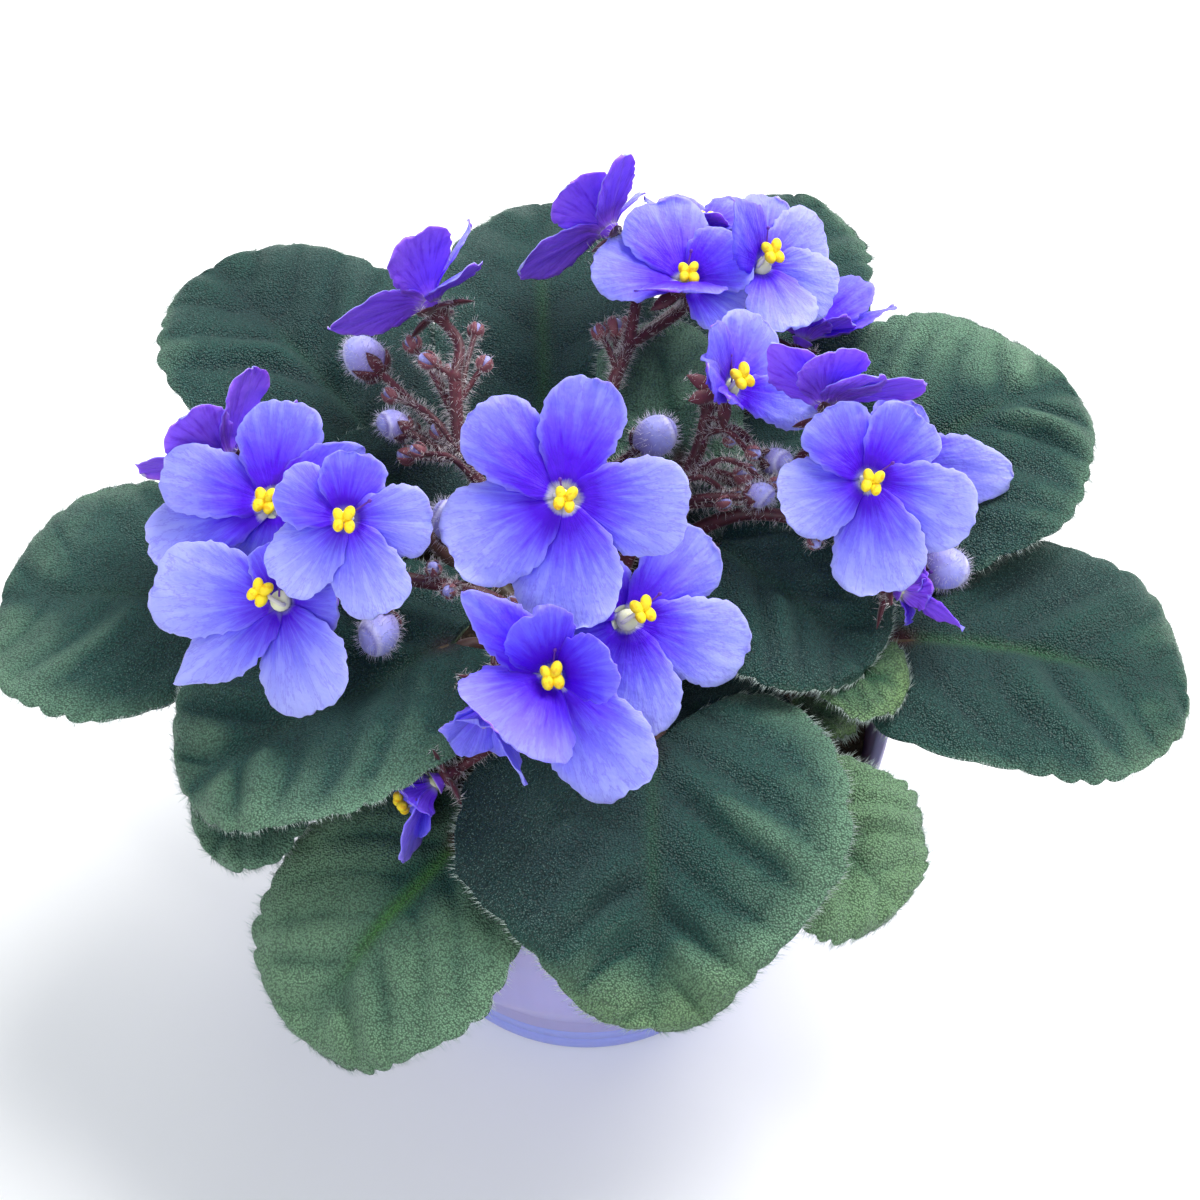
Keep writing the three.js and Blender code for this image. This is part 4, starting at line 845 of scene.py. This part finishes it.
blooms = {
    "middle": bloomPlan((-3.7, -0.7, 143), (-90, 54), style=(100, 4.2), anthers=(0.4, -0.6, 3), petals=[
        (76, 23, 16, 2), (134, 23, 17, 2), (-153, 24, 21, 0), (-86, 24.5, 21, 0), (-7, 23.5, 20, 0)]),
    "middle_right": bloomPlan((8.1, -14.3, 124), (-62, 52), ovary=2.1, violet=0.03, style=(22, 9),
        anthers=(2.2, 0.8, 3.9), petals=[
        (19, 23, 17, 0), (-37, 25, 18, 0), (-107, 22.5, 19, 0), (-160, 14, 15, -12), (104, 13, 14, -10)]),
    "front": bloomPlan((-5.7, -26.8, 124), (-88, 50), anthers=(0, 0, 4.4), petals=[
        (106, 16, 14, 44, 0.1), (134, 25.5, 10.5, 30, 0.7), (-135, 19, 25, 48), (-58, 27, 21, 0, 0.15),
        (12, 15.5, 14, 46, 0.1)]),
    "right": bloomPlan((54.2, 13.9, 131), (-90, 54), violet=0.03, style=(35, 7), anthers=(0.4, -0.6, 3),
        petals=[
        (121, 16, 16, 4), (49, 16.5, 16, 4), (-22, 22, 18, 0), (-82, 22.5, 19, 0), (-163, 17.5, 17, 0)]),
    "right_behind": bloomPlan((60, 30, 117.6), (-85, 60), petals=[
        (135, 16, 14, -8), (62, 15, 13.5, -4), (-9, 27, 17, 0, 0.45), (-68, 13, 14, 0), (-142, 10, 12, 0)]),
    "inner_right": bloomPlan((28.2, 32.4, 137), (-50, 50), violet=0.06, style=(80, 8), ovary=2.0,
        anthers=(1, 1, 4.4), petals=[
        (27, 18.5, 16, -8), (111, 19, 12, 48, 0.4), (138, 17, 11, 50, 0.7), (-172, 12, 8, 58, 0.7),
        (-38, 26, 10, -12, 0.2)]),
    "back_right": bloomPlan((36.1, 66.7, 137), (-60, 55), violet=0.12, style=(70, 9), ovary=2.0,
        anthers=(1.6, 1.4, 3.8), petals=[
        (117, 20, 13, 48, 0.75), (50, 17, 14.5, -10), (8, 19, 16, -8), (-40, 18, 16, -4),
        (-105, 18, 15, 34)]),
    "back": bloomPlan((20.3, 62.5, 137), (-90, 72), anthers=(0.6, 0, 3), petals=[
        (166, 19.5, 17, 4), (108, 19.5, 19, 4), (31, 14, 16, 12), (-28, 13.5, 13, -15), (-100, 14, 19, 56)]),
    "left": bloomPlan((-43.1, -5.9, 143), (-90, 54), violet=0.11, style=(30, 8), anthers=(0.2, -0.4, 3),
        petals=[
        (150, 14, 12, 4), (80, 12.5, 12.5, 8), (-3, 16, 14, 0), (-68, 19, 15, 0), (-137, 17.5, 14.5, 0)]),
    "low_left": bloomPlan((-55.9, -13, 128), (-118, 50), ovary=2.0, violet=0.13,
        anthers=(-2.4, 0.7, 4.2), petals=[
        (-166, 28.5, 20, 0), (-124, 28, 15, 0, 0.9), (-49, 22, 20, 0), (17, 11.5, 13, 0), (118, 11, 13, 0)]),
    "far_left": bloomPlan((-58.9, 7.3, 132), (-105, 56), anthers=(-0.4, 0, 3), petals=[
        (96, 20, 17, 2), (174, 23, 15, 4), (-152, 27, 16, -3), (-92, 15, 17, -13), (44, 21, 12, -4, 0.7)]),
    "left_back": bloomPlan((-70, 23.9, 126.7), (125, 15), petals=[
        (128, 19, 13, 28), (62, 17, 14, 18), (-36, 20, 15, 34, 0.3), (179, 19, 12, 14, 0.6),
        (-80, 14, 14, 19)]),
    "back_left": bloomPlan((-31.7, 58.4, 136), (125, 20), petals=[
        (84, 18.5, 16, 24), (-178, 21, 14, 36, 0.4), (118, 16, 13, -10, 0.3), (2, 22, 14, 11, 0.6),
        (-83, 17, 14, 36)]),
    "top": bloomPlan((4.2, 77.6, 138), (125, 20), petals=[
        (58, 17, 15, 24), (96, 21, 11, 14, 0.4), (-152, 17, 13, 26, 0.7), (-12, 21, 15, 6),
        (-71, 18, 14, 29)]),
    "tall_right": bloomPlan((46.3, 66.6, 117), (60, 30), bend=(38, 50, 121), petals=[
        (-112, 21, 14, 68), (-137, 24, 11, 47, 0.8), (100, 8, 11, 30), (-20, 10, 12, 25), (165, 11, 12, 40)]),
    "right_back": bloomPlan((47.2, 33.7, 132), (95, 15), bend=(36, 26.5, 114.5), leaves=0.75, petals=[
        (52, 20, 11, 18, 0.7), (92, 16, 15, 12), (125, 16, 13, -4, 0.5), (160, 20, 12, 0),
        (-120, 12, 10, 34)]),
    "low_right": bloomPlan((62.4, 1.8, 112.3), (-10, -10), bend=(52, 9, 114), petals=[
        (-177, 13.5, 5.5, 70, 0.8), (-110, 7, 7, 30), (67, 6, 7, 30), (-46, 6, 7, 30), (125, 7, 7, 40)]),
    "drooping": bloomPlan((-17.1, -29.8, 119), (-100, -25), washed=0.85, violet=0.35, petals=[
        (178, 10.5, 11, 52), (-135, 11.5, 11, 62, 0.5), (7, 17, 9, 60, 0.8), (-63, 11, 10, 54),
        (90, 9, 11, 40)]),
    "low_front": bloomPlan((-28.6, -37.9, 104), (-150, -10), washed=0.6, violet=0.22, anthers=(0, 0, 6),
        bend=(-13, -27, 108.5), petals=[
        (143, 15, 9, 66, 0.8), (-18, 15.5, 13, 54, 0.6), (-70, 10, 11, 44), (60, 8, 10, 44),
        (-130, 9, 10, 40)]),
    "hidden": bloomPlan((25, 86.8, 128), (80, 60), petals=[
        (160, 14, 11, 30), (90, 14, 12, 30), (20, 15, 11, 30), (-50, 13, 11, 30), (-120, 13, 11, 30)]),
}
bloomValues = {
    "seed": 300, "rows": 40, "columns": 14, "thickness": 0.5, "start": 1.2, "neck": 1.7, "twist": 0.14,
    "ruffle": 0.6, "crimp": 0.26, "crease": 0.30, "throatSink": 1.3, "rimReach": 1.012,
    "throat": [(1.0, -2.6), (1.7, -2.5), (1.9, -2.1), (2.2, -1.8), (2.5, -1.5), (2.8, -1.2), (2.9, -1.0),
               (2.75, -0.95), (2.4, -1.1), (1.9, -1.4), (1.3, -1.6), (0.7, -1.7)],
    "throatSides": 24, "throatColour": 0.24, "foldedRise": 28, "foldedThroat": 0.82,
    "antherRadius": 1.08, "filamentRadius": 0.42, "bridgeRadius": 0.5, "styleLength": 6.5, "styleDot": 0.38,
}


def bloomAxes(bloom):
    a, e = np.radians(bloom["face"][0]), np.radians(bloom["face"][1])
    n = np.array([cos(a) * cos(e), sin(a) * cos(e), sin(e)])
    right = unit(np.cross([0, 0, 1], n))
    return n, right, np.cross(n, right)


# Direction in the plane of right and up.
def towards(right, up, angle):
    return right * cos(angle) + up * sin(angle)


# Petal: t runs from the throat at 0 to the tip at 1, reach across it from -1 to 1. The half width is a short
# neck plus half an ellipse of t to the power 1.62, narrowed where it is pointed. The face bows back along and
# across and is twisted; crimps walk round the margin, ruffles grow towards it, and a crease runs down it.
def petalShell(bloom, petal, rng):
    v = bloomValues
    turnDegrees, length, width, riseDegrees, point = (*petal, 0.0)[:5]
    n, right, up = bloomAxes(bloom)
    turn, rise = np.radians(turnDegrees), np.radians(riseDegrees)
    out, side = towards(right, up, turn), towards(up, -right, turn)
    p = rng.random(8) * 6.3
    notch = rng.random() * 0.05
    curl = (rng.random() - 0.35) * 1.2
    # Painted shade on raised petals: deeper colours, as on upper petals, and no pale rim.
    raisedShade = smoothStep((riseDegrees - 25) / 30)
    upper = max(smoothStep((sin(turn) + 0.25) / 0.9), 0.7 * smoothStep((riseDegrees - 20) / 25))

    def sheet(t, reach, level):
        m, hand = np.minimum(np.abs(reach), 1), np.sign(reach)
        ahead = t ** (1.62 - 0.5 * point)
        ellipse = np.clip(1 - np.abs(2 * ahead - 1) ** 2.2, 0, 1) ** 0.48
        half = v["neck"] * (1 - t) ** 2 + 0.45 * width * ellipse
        half = half * (1 - point * 0.75 * smoothStep((t - 0.45) / 0.55))
        half = half * (1 + 0.05 * sin(6 * t + p[0] + reach) + 0.02 * sin(19 * t + p[1] + 3 * reach))
        walk = length * ahead * 0.9 * hand + width * 0.5 * reach
        crimps = v["crimp"] * (sin(walk * 2.1 + p[4]) + 0.6 * sin(walk * 3.7 + p[5]))
        crimps = crimps * sin(pi * np.clip(t * 1.1, 0, 1) ** 0.6)
        across = reach * np.maximum(half + crimps * np.minimum(half / 3, 1), 0.02)
        reached = v["start"] + (length - v["start"]) * t + 0.8 * v["crimp"] * sin(across * 2.3 + p[6]) * t**10
        reached = reached - notch * length * bell(across / (0.14 * width)) * t**5
        ruffle = sin(6.5 * t + p[2] + 1.5 * hand) + 0.5 * sin(14 * t + p[3] + hand)
        ruffle = v["ruffle"] * m**3 * t * (ruffle + 0.25 * sin(31 * t + p[0]))
        ruffle = ruffle + 0.30 * t**5 * sin(3.2 * reach + p[4])
        tipCurl = 1.6 * curl * np.clip(t - 0.6, 0, 1) ** 2
        crease = v["crease"] * bell(reach / 0.13) * sin(pi * t) ** 0.7
        folds = 0.16 * sin(9.5 * reach + p[5] + 1.5 * t) * sin(pi * np.clip(t * 1.25, 0, 1)) * (1 - m**4)
        thick = v["thickness"] * (1 - 0.45 * t) * (1 - 0.35 * m**3)
        bow = -0.06 * reached**2 / length - 0.2 * across**2 / width
        bow = bow + v["twist"] * across + level * thick / 2 + ruffle - tipCurl - crease + folds
        radius = np.sqrt(reached**2 + across**2)
        outward = reached * cos(rise) - bow * sin(rise)
        sink = v["throatSink"] * (1 - smoothStep((radius - 1.4) / 3.0))
        upward = reached * sin(rise) + bow * cos(rise) - sink
        points = bloom["at"] + out * outward[..., None] + n * upward[..., None] + side * across[..., None]
        rim = np.maximum(smoothStep((m - 0.90) / 0.10), smoothStep((t - 0.97) / 0.03)) * smoothStep(t / 0.5)
        return points, {
            "radial": radius / max(length, 17) * (1 - 0.2 * raisedShade) + bloom["violet"],
            "lane": (np.arctan2(across, reached) + p[6]) * 9, "run": reached / 9, "upper": upper + 0 * radius,
            # Raised petals lose the pale rim, as painted shade.
            "rim": rim * (1 - 0.9 * smoothStep((riseDegrees - 20) / 30)),
            "under": (level < 0) * (1 - bloom["washed"]),
            "cup": 0.45 * (1 - smoothStep((radius - 1.2) / 1.7))}

    t = sin(np.linspace(0.0, pi / 2, v["rows"] + 1)[:-1])[:, None]
    u = np.linspace(1, -1, v["columns"])
    reach = np.concatenate([u, [-v["rimReach"]], -u, [v["rimReach"]]])[None] + 0 * t
    level = np.concatenate([1 + 0 * u, [0.0], -1 + 0 * u, [0.0]])[None] + 0 * t
    points, tags = sheet(t + 0 * reach, reach, level)
    ends, endTags = sheet(np.array([0.0, 1.0]), np.zeros(2), np.zeros(2))
    return shell(points, ends, tags, endTags)


# Throat: the profile, as radius and height, runs up the outside of the tube, over the lip and down into the
# cup. It is narrower in blooms with a petal folded up.
def bloomThroat(bloom):
    v = bloomValues
    n, right, up = bloomAxes(bloom)
    at = bloom["at"]
    folded = max(petal[3] for petal in bloom["petals"]) > v["foldedRise"]
    radii, heights = np.array(v["throat"]).T[:, :, None, None]
    a = ringAngles(v["throatSides"])[:, None]
    circle = cos(a) * right + sin(a) * up
    rings = at + radii * (v["foldedThroat"] if folded else 1.0) * circle + heights * n
    inside = np.clip((np.arange(len(radii)) - 5) / 2, 0, 1)[:, None]
    tags = {"cup": inside, "radial": v["throatColour"], "under": 1 - inside}
    return shell(rings, [at - 2.6 * n, at - 1.75 * n], tags)


# Four anther lobes on two filaments with a bridge between them, the ovary, and the style with its dot.
def antherParts(bloom, rng):
    v = bloomValues
    n, right, up = bloomAxes(bloom)
    at = bloom["at"]
    across, upward, outward = bloom["anthers"]
    head = at + right * across + up * upward + n * outward
    r0 = towards(right, up, rng.random() * 0.5 - 0.25)
    u0 = np.cross(n, r0)
    parts = []

    def groove(t, a):
        return 1 - 0.12 * bell((a - pi / 2) / 0.35)

    for i in (-1, 1):
        for j in (-1, 1):
            place = head + r0 * i * 0.98 + u0 * j * (1.02 + 0.12 * i) + n * (0.12 * i * j + 0.2)
            axis = u0 * j + r0 * (0.25 + 0.2 * j) * i + n * (0.2 - 0.25 * j)
            size = v["antherRadius"] * (0.90 + 0.16 * rng.random())
            parts.append(eggPart(place, axis, size, size * 1.38, 14, 8, groove))
        bow = at + r0 * i * 1.5 + n * (outward * 0.4 + 0.2)
        line = pathLine([at + r0 * i * 0.7 - n * 0.6, bow, head + r0 * i - n * 0.3], 12)
        parts.append(tubePart(line, v["filamentRadius"], 9, {"filament": 1.0}))
    parts.append(tubePart(np.stack([head - r0 * 0.8, head + r0 * 0.8]), v["bridgeRadius"], 8))
    ovary = bloom["ovary"]
    parts.append(eggPart(at - n * 0.2, n, ovary, ovary * 0.95, 14, 8, tags={"filament": 0.9, "green": 0.8}))
    turn, length = bloom["style"] or (30 + 90 * rng.random(), v["styleLength"])
    aim = towards(right, up, np.radians(turn))
    tip = at + aim * length * 0.72 + n * (length * 0.5 + 0.6)
    line = pathLine([at - n * 0.5, at + aim * 1.4 + n * 1.9, tip], 14)
    parts.append(tubePart(line, np.linspace(0.24, 0.17, 14), 8, {"style": 1.0}))
    parts.append(eggPart(tip, aim + n, v["styleDot"], v["styleDot"] + 0.07, 9, 5, tags={"style": 1.0}))
    return parts


# Six blooms hide their anthers, and have no node for them.
for index, (key, bloom) in enumerate(blooms.items()):
    rng = np.random.default_rng(bloomValues["seed"] + index)
    parts = [petalShell(bloom, petal, rng) for petal in bloom["petals"]] + [bloomThroat(bloom)]
    makePiece(camel("bloom_" + key), parts, petalSkin, ["bloom_" + key])
    node = "anthers_" + key
    nodes = [node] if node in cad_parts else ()
    makePiece(camel(node), antherParts(bloom, rng), antherSkin, nodes)
print("blooms built:", sum(pieceTriangles.values()), "triangles so far")


# Sprays: main stalk as corners in mm, its blooms, and buds as place, radius, share along the stalk and arch
# of their stem, the small ones that cluster round the forks last.
sprays = {
    "front": dict(
        stalk=[(0, -6.4, 96.3), (0, -6.4, 100), (-4, -8, 108), (-9, -13, 113)],
        blooms=["middle", "middle_right", "front", "drooping", "low_front"],
        buds=[((-13.5, -3.5, 115), 1.6, 0.8, 1), ((-10.5, -6.5, 116), 1.4, 0.9, 1),
              ((-16, -6, 112), 1.2, 0.75, 2)]),
    "left": dict(
        stalk=[(-6.4, -1, 96.3), (-6.4, -1, 100), (-20, 1, 112), (-36, 3, 115)],
        blooms=["left", "low_left", "far_left", "left_back"],
        buds=[((-39, -10.6, 115), 4.2, 1, 0), ((-26, 10.3, 123), 3.8, 0.7, 0), ((-29, 2, 119), 1.4, 0.85, 1),
              ((-26, -2, 117), 1.3, 0.75, 2)]),
    "back_left": dict(
        stalk=[(-4.8, 4.6, 96.3), (-4.8, 4.6, 100), (-18, 22, 113), (-24.6, 31, 121), (-26, 42, 130)],
        blooms=["back_left"],
        buds=[
            ((-45.2, 53.3, 124), 4.6, 0.75, 0), ((-38.4, 36.5, 122), 3.2, 0.7, 0),
            ((-31.5, 44, 133), 1.6, 1, 0), ((-20.1, 46, 130), 1.5, 0.9, 0), ((-36, 32, 118), 1.8, 0.7, 0),
            ((-39.5, 45, 122), 1.7, 0.68, 5), ((-29.5, 35, 122), 1.6, 0.6, 3),
            ((-33.5, 31, 120.5), 1.5, 0.58, 4), ((-35, 39, 118), 1.4, 0.62, 4),
            ((-35.5, 55.5, 126), 1.7, 0.84, 2), ((-31, 50, 125.5), 1.5, 0.8, 2),
            ((-22.5, 58.5, 127), 1.5, 0.86, 2), ((-28, 50.5, 123), 1.4, 0.76, 2)]),
    "back": dict(
        stalk=[(0.6, 6.6, 96.3), (0.6, 6.6, 100), (1, 24, 112), (5, 44, 123), (9, 55, 126)],
        blooms=["back", "top", "hidden"],
        buds=[((6.1, 61, 125), 2.2, 0.85, 0), ((13.8, 27, 129), 4.3, 0.55, 0), ((3, 59, 126), 1.6, 0.85, 1),
              ((8.5, 63, 124.5), 1.3, 0.9, 1)]),
    "back_right": dict(
        stalk=[(4.6, 4.6, 96.3), (4.6, 4.6, 100), (10.5, 16.5, 112), (21.5, 28, 120), (24.5, 36, 127)],
        blooms=["inner_right", "back_right", "tall_right", "right_back"],
        buds=[
            ((32, 25.5, 119.5), 2.1, 0.62, 5), ((38.5, 31.5, 116.5), 3.1, 0.9, 5),
            ((34.5, 20.5, 119), 2.7, 0.56, 2.5), ((27.5, 19.5, 118), 1.5, 0.54, 1.5),
            ((33.5, 28.5, 122.5), 1.4, 0.88, 4), ((29, 31.5, 123), 1.3, 0.95, 3),
            ((38, 24.5, 117.5), 1.4, 0.66, 8), ((30.5, 22.5, 116.5), 1.6, 0.60, 7)]),
    "right": dict(
        stalk=[(6.4, -1, 96.3), (6.4, -1, 100), (14.5, 12.5, 108.5), (30, 20, 113.5), (49, 16, 115.5)],
        blooms=["right", "right_behind", "low_right"],
        buds=[((70.3, 7.9, 112), 4.6, 1, -2), ((45, 10, 117), 1.3, 0.9, 1)]),
}
sprayValues = {
    "seed": 500, "stalkRadius": 1.7, "pedicelRadius": 1.1, "hairLength": 1.9, "hairsPerMm": 12,
    "knobs": 0.012, "sepalLength": 5.6, "sepalWidth": 1.15, "sepalHairs": 36,
    "calyxHeights": (6.4, 5.4, 4.4, 3.5, 2.9),
    "calyxRadii": (1.15, 1.5, 2.1, 2.5, 2.3), "calyxHairs": 60, "calyxBack": 5.85, "budWidth": 0.93,
    "budLength": 1.16, "bigBud": 2.6,
}


# Sepal: a flattened tapering blade along a bowed line, widest a third of the way up.
def sepalPart(line, width, facing, tags=None):
    t = np.linspace(0, 1, len(line))
    radii = width * (0.45 + 0.9 * sin(pi * np.clip(t * 0.85 + 0.12, 0, 1)) ** 0.8) * (1 - t**6) + 0.06
    return tubePart(line, radii, 10, tags, flat=0.36, facing=facing)


# Calyx: a hairy cup behind the bloom and a sepal behind each gap between two petals.
def calyxParts(bloom, rng):
    v = sprayValues
    n, right, up = bloomAxes(bloom)
    at = bloom["at"]
    cup = np.stack([at - n * height for height in v["calyxHeights"]])
    parts = hairyTube(cup, v["calyxRadii"], 14, v["calyxHairs"], v["hairLength"], rng)
    petals = sorted(petal[:4] for petal in bloom["petals"])
    for one, following in zip(petals, petals[1:] + petals[:1]):
        middle = (one[0] + following[0]) / 2 + (180 if following is petals[0] else 0)
        out = towards(right, up, np.radians(middle + 10 * (rng.random() - 0.5)))
        aim = towards(out, n, np.radians(min(one[3], following[3], 20) - 17 - 8 * rng.random()))
        length = v["sepalLength"] * (0.85 + 0.3 * rng.random())
        foot = at - n * 3.6 + out * 1.5
        tip = foot + out * 1.2 + aim * length * 0.95 + n * 0.3
        line = pathLine([foot, foot + out * 1.6 + aim * length * 0.25, tip], 12)
        parts.append(sepalPart(line, v["sepalWidth"], n))
        parts.append(tubeHairs(line, v["sepalWidth"] * 0.6, v["sepalHairs"], v["hairLength"] * 0.75, rng))
    return parts


# Bud: an egg of folded petals held by five sepals; small ones show only a tip of lavender.
def budParts(place, axis, radius, rng):
    v = sprayValues
    big = radius > v["bigBud"]
    side, other = crossAxes(axis)
    lean = 0.5 + 0.35 * rng.random()
    turned = 6.28 * rng.random()

    # Angle between a point of the bud and the middle of its closing petal, which leans off the tip.
    def away(t, a):
        dot = -cos(t) * cos(lean) + sin(t) * cos(a - turned) * sin(lean)
        return np.arccos(np.clip(dot, -1, 1))

    def step(t, a):
        return 1 - 0.06 * smoothStep((0.88 - away(t, a)) / 0.12) + 0.02 * bell((away(t, a) - 0.95) / 0.08)

    # Tags: the rise up the bud, the crease round the closing petal where shade is painted, and the lip beside
    # it.
    tags = {"rise": lambda t, a: (1 - cos(t)) / 2, "fold": lambda t, a: bell((away(t, a) - 0.78) / 0.10),
            "lip": lambda t, a: bell((away(t, a) - 0.98) / 0.11)}
    wide, long = radius * v["budWidth"], radius * v["budLength"]
    grow, sides, rows = (1.0, 36, 24) if big else (0.92, 14, 9)
    hairs, hairLength, sepalHairs = (int(105 * radius), 1.6, 34) if big else (36, 0.9, 20)
    wrap, blush = (1.10, 0.0) if big else (2.3, 0.75)
    soft = [eggPart(place, axis, wide * grow, long * grow, sides, rows, step, tags),
            eggHairs(place, axis, wide, long, hairs, hairLength, rng)]
    stiff = []
    for k in range(5):
        out = towards(side, other, 2 * pi * (k + 0.15 * rng.random()) / 5)
        phi = np.linspace(0.12, wrap + 0.25 * rng.random(), 14)[:, None]
        line = place - axis * radius * 1.2 * cos(phi) + out * (radius * sin(phi) + 0.12)
        stiff.append(sepalPart(line, min(0.95, radius * 0.36), out, {"blush": blush}))
        stiff.append(tubeHairs(line, 0.5, sepalHairs, v["hairLength"] * 0.85, rng))
    return soft, stiff


def stalkParts(line, radii, sides, rng):
    v = sprayValues
    length = np.linalg.norm(np.diff(line, axis=0), axis=1).sum()
    hairs = int(length * v["hairsPerMm"])
    return hairyTube(line, radii, sides, hairs, v["hairLength"], rng, knobs=v["knobs"], seed=int(length))


# The hairy parts and the lavender ones are two pieces, because they have different materials.
def buildSpray(key, plan, index):
    v = sprayValues
    rng = np.random.default_rng(v["seed"] + index)
    main = pathLine(plan["stalk"], 40)
    thick, thin = v["stalkRadius"], v["pedicelRadius"]
    parts, soft = stalkParts(main, np.linspace(thick + 0.3, thick - 0.4, 40), 16, rng), []
    parts.append(eggPart(main[-1], main[-1] - main[-2], thick * 0.9, thick * 1.1, 14, 7))
    for bloom in (blooms[bloomKey] for bloomKey in plan["blooms"]):
        n = bloomAxes(bloom)[0]
        behind = bloom["at"] - n * v["calyxBack"]
        bend = behind - n * 6 if bloom["bend"] is None else bloom["bend"]
        line = pathLine([alongPath(plan["stalk"], bloom["leaves"]), bend, behind + n * 0.5], 24)
        parts += stalkParts(line, np.linspace(thin + 0.15, thin - 0.05, 24), 10, rng)
        parts += calyxParts(bloom, rng)
    for place, radius, share, arch in plan["buds"]:
        root = alongPath(plan["stalk"], share)
        axis = np.array(place) - root
        axis[2] = max(1, axis[2])
        axis = unit(axis)
        neck = place - axis * radius * 0.8
        line = pathLine([root, (root + neck) / 2 + np.array([0, 0, arch]), neck], 16)
        parts += stalkParts(line, (1.0 if radius > 2.5 else 0.72) * np.linspace(1.0, 0.85, 16), 8, rng)
        budSoft, budStiff = budParts(place, axis, radius, rng)
        soft += budSoft
        parts += budStiff
    makePiece(camel("spray_" + key), parts, stalkSkin, ["spray_" + key])
    makePiece(camel("buds_" + key), soft, budSkin)


for index, (key, plan) in enumerate(sprays.items()):
    buildSpray(key, plan, index)
print("sprays built:", sum(pieceTriangles.values()), "triangles, largest", max(pieceTriangles.values()))


# Floor, camera and light, in metres. A light is its name, place, size, energy and colour.
viewValues = {
    "target": (0.003, 0.013, 0.095), "elevation": 52, "distance": 0.430, "lens": 63.2, "sensor": 36,
    "nearest": 0.01, "floorEdge": 3.0, "floor": (0.93, 0.93, 0.93), "floorShade": 0.985,
    "world": (0.90, 0.95, 1.0), "worldStrength": 0.48,
    "lights": [("keyLight", (0.85, 1.00, 1.70), 1.5, 80.0, (1.0, 0.985, 0.96)),
               ("frontLight", (-0.80, -1.70, 1.80), 1.6, 30.0, (0.94, 0.97, 1.0))],
}


def placeObject(name, data, place, backwards):
    thing = bpy.data.objects.new(name, data)
    thing.location = place
    thing.rotation_mode = "QUATERNION"
    thing.rotation_quaternion = (-backwards).to_track_quat("-Z", "Y")
    bpy.context.scene.collection.objects.link(thing)
    return thing


def buildStage():
    v = viewValues
    scene, target, edge = bpy.context.scene, Vector(v["target"]), v["floorEdge"]
    mesh = bpy.data.meshes.new("floor")
    corners = [(-edge, -edge, 0), (edge, -edge, 0), (edge, edge, 0), (-edge, edge, 0)]
    mesh.from_pydata(corners, [], [(0, 1, 2, 3)])
    floor = bpy.data.objects.new("floor", mesh)
    scene.collection.objects.link(floor)
    skin = skinNodes("paleFloor")
    shade = tuple(part * v["floorShade"] for part in v["floor"])
    tone = skin.ramp(skin.noise(6, 2), (0.3, v["floor"]), (0.7, shade))
    mesh.materials.append(skin.finish(Base_Color=tone, Roughness=0.9))
    world = bpy.data.worlds.new("softSky")
    world.use_nodes = True
    background = world.node_tree.nodes["Background"]
    background.inputs["Color"].default_value = (*v["world"], 1)
    background.inputs["Strength"].default_value = v["worldStrength"]
    scene.world = world
    for name, place, size, energy, colour in v["lights"]:
        light = bpy.data.lights.new(name, "AREA")
        light.size, light.energy, light.color = size, energy, colour
        placeObject(name, light, place, Vector(place) - target)
    camera = bpy.data.cameras.new("camera")
    camera.lens, camera.sensor_width, camera.clip_start = v["lens"], v["sensor"], v["nearest"]
    e = np.radians(v["elevation"])
    back = Vector((0, -cos(e), sin(e)))
    scene.camera = placeObject("camera", camera, target + back * v["distance"], back)
    scene.view_settings.view_transform = "Standard"


buildStage()
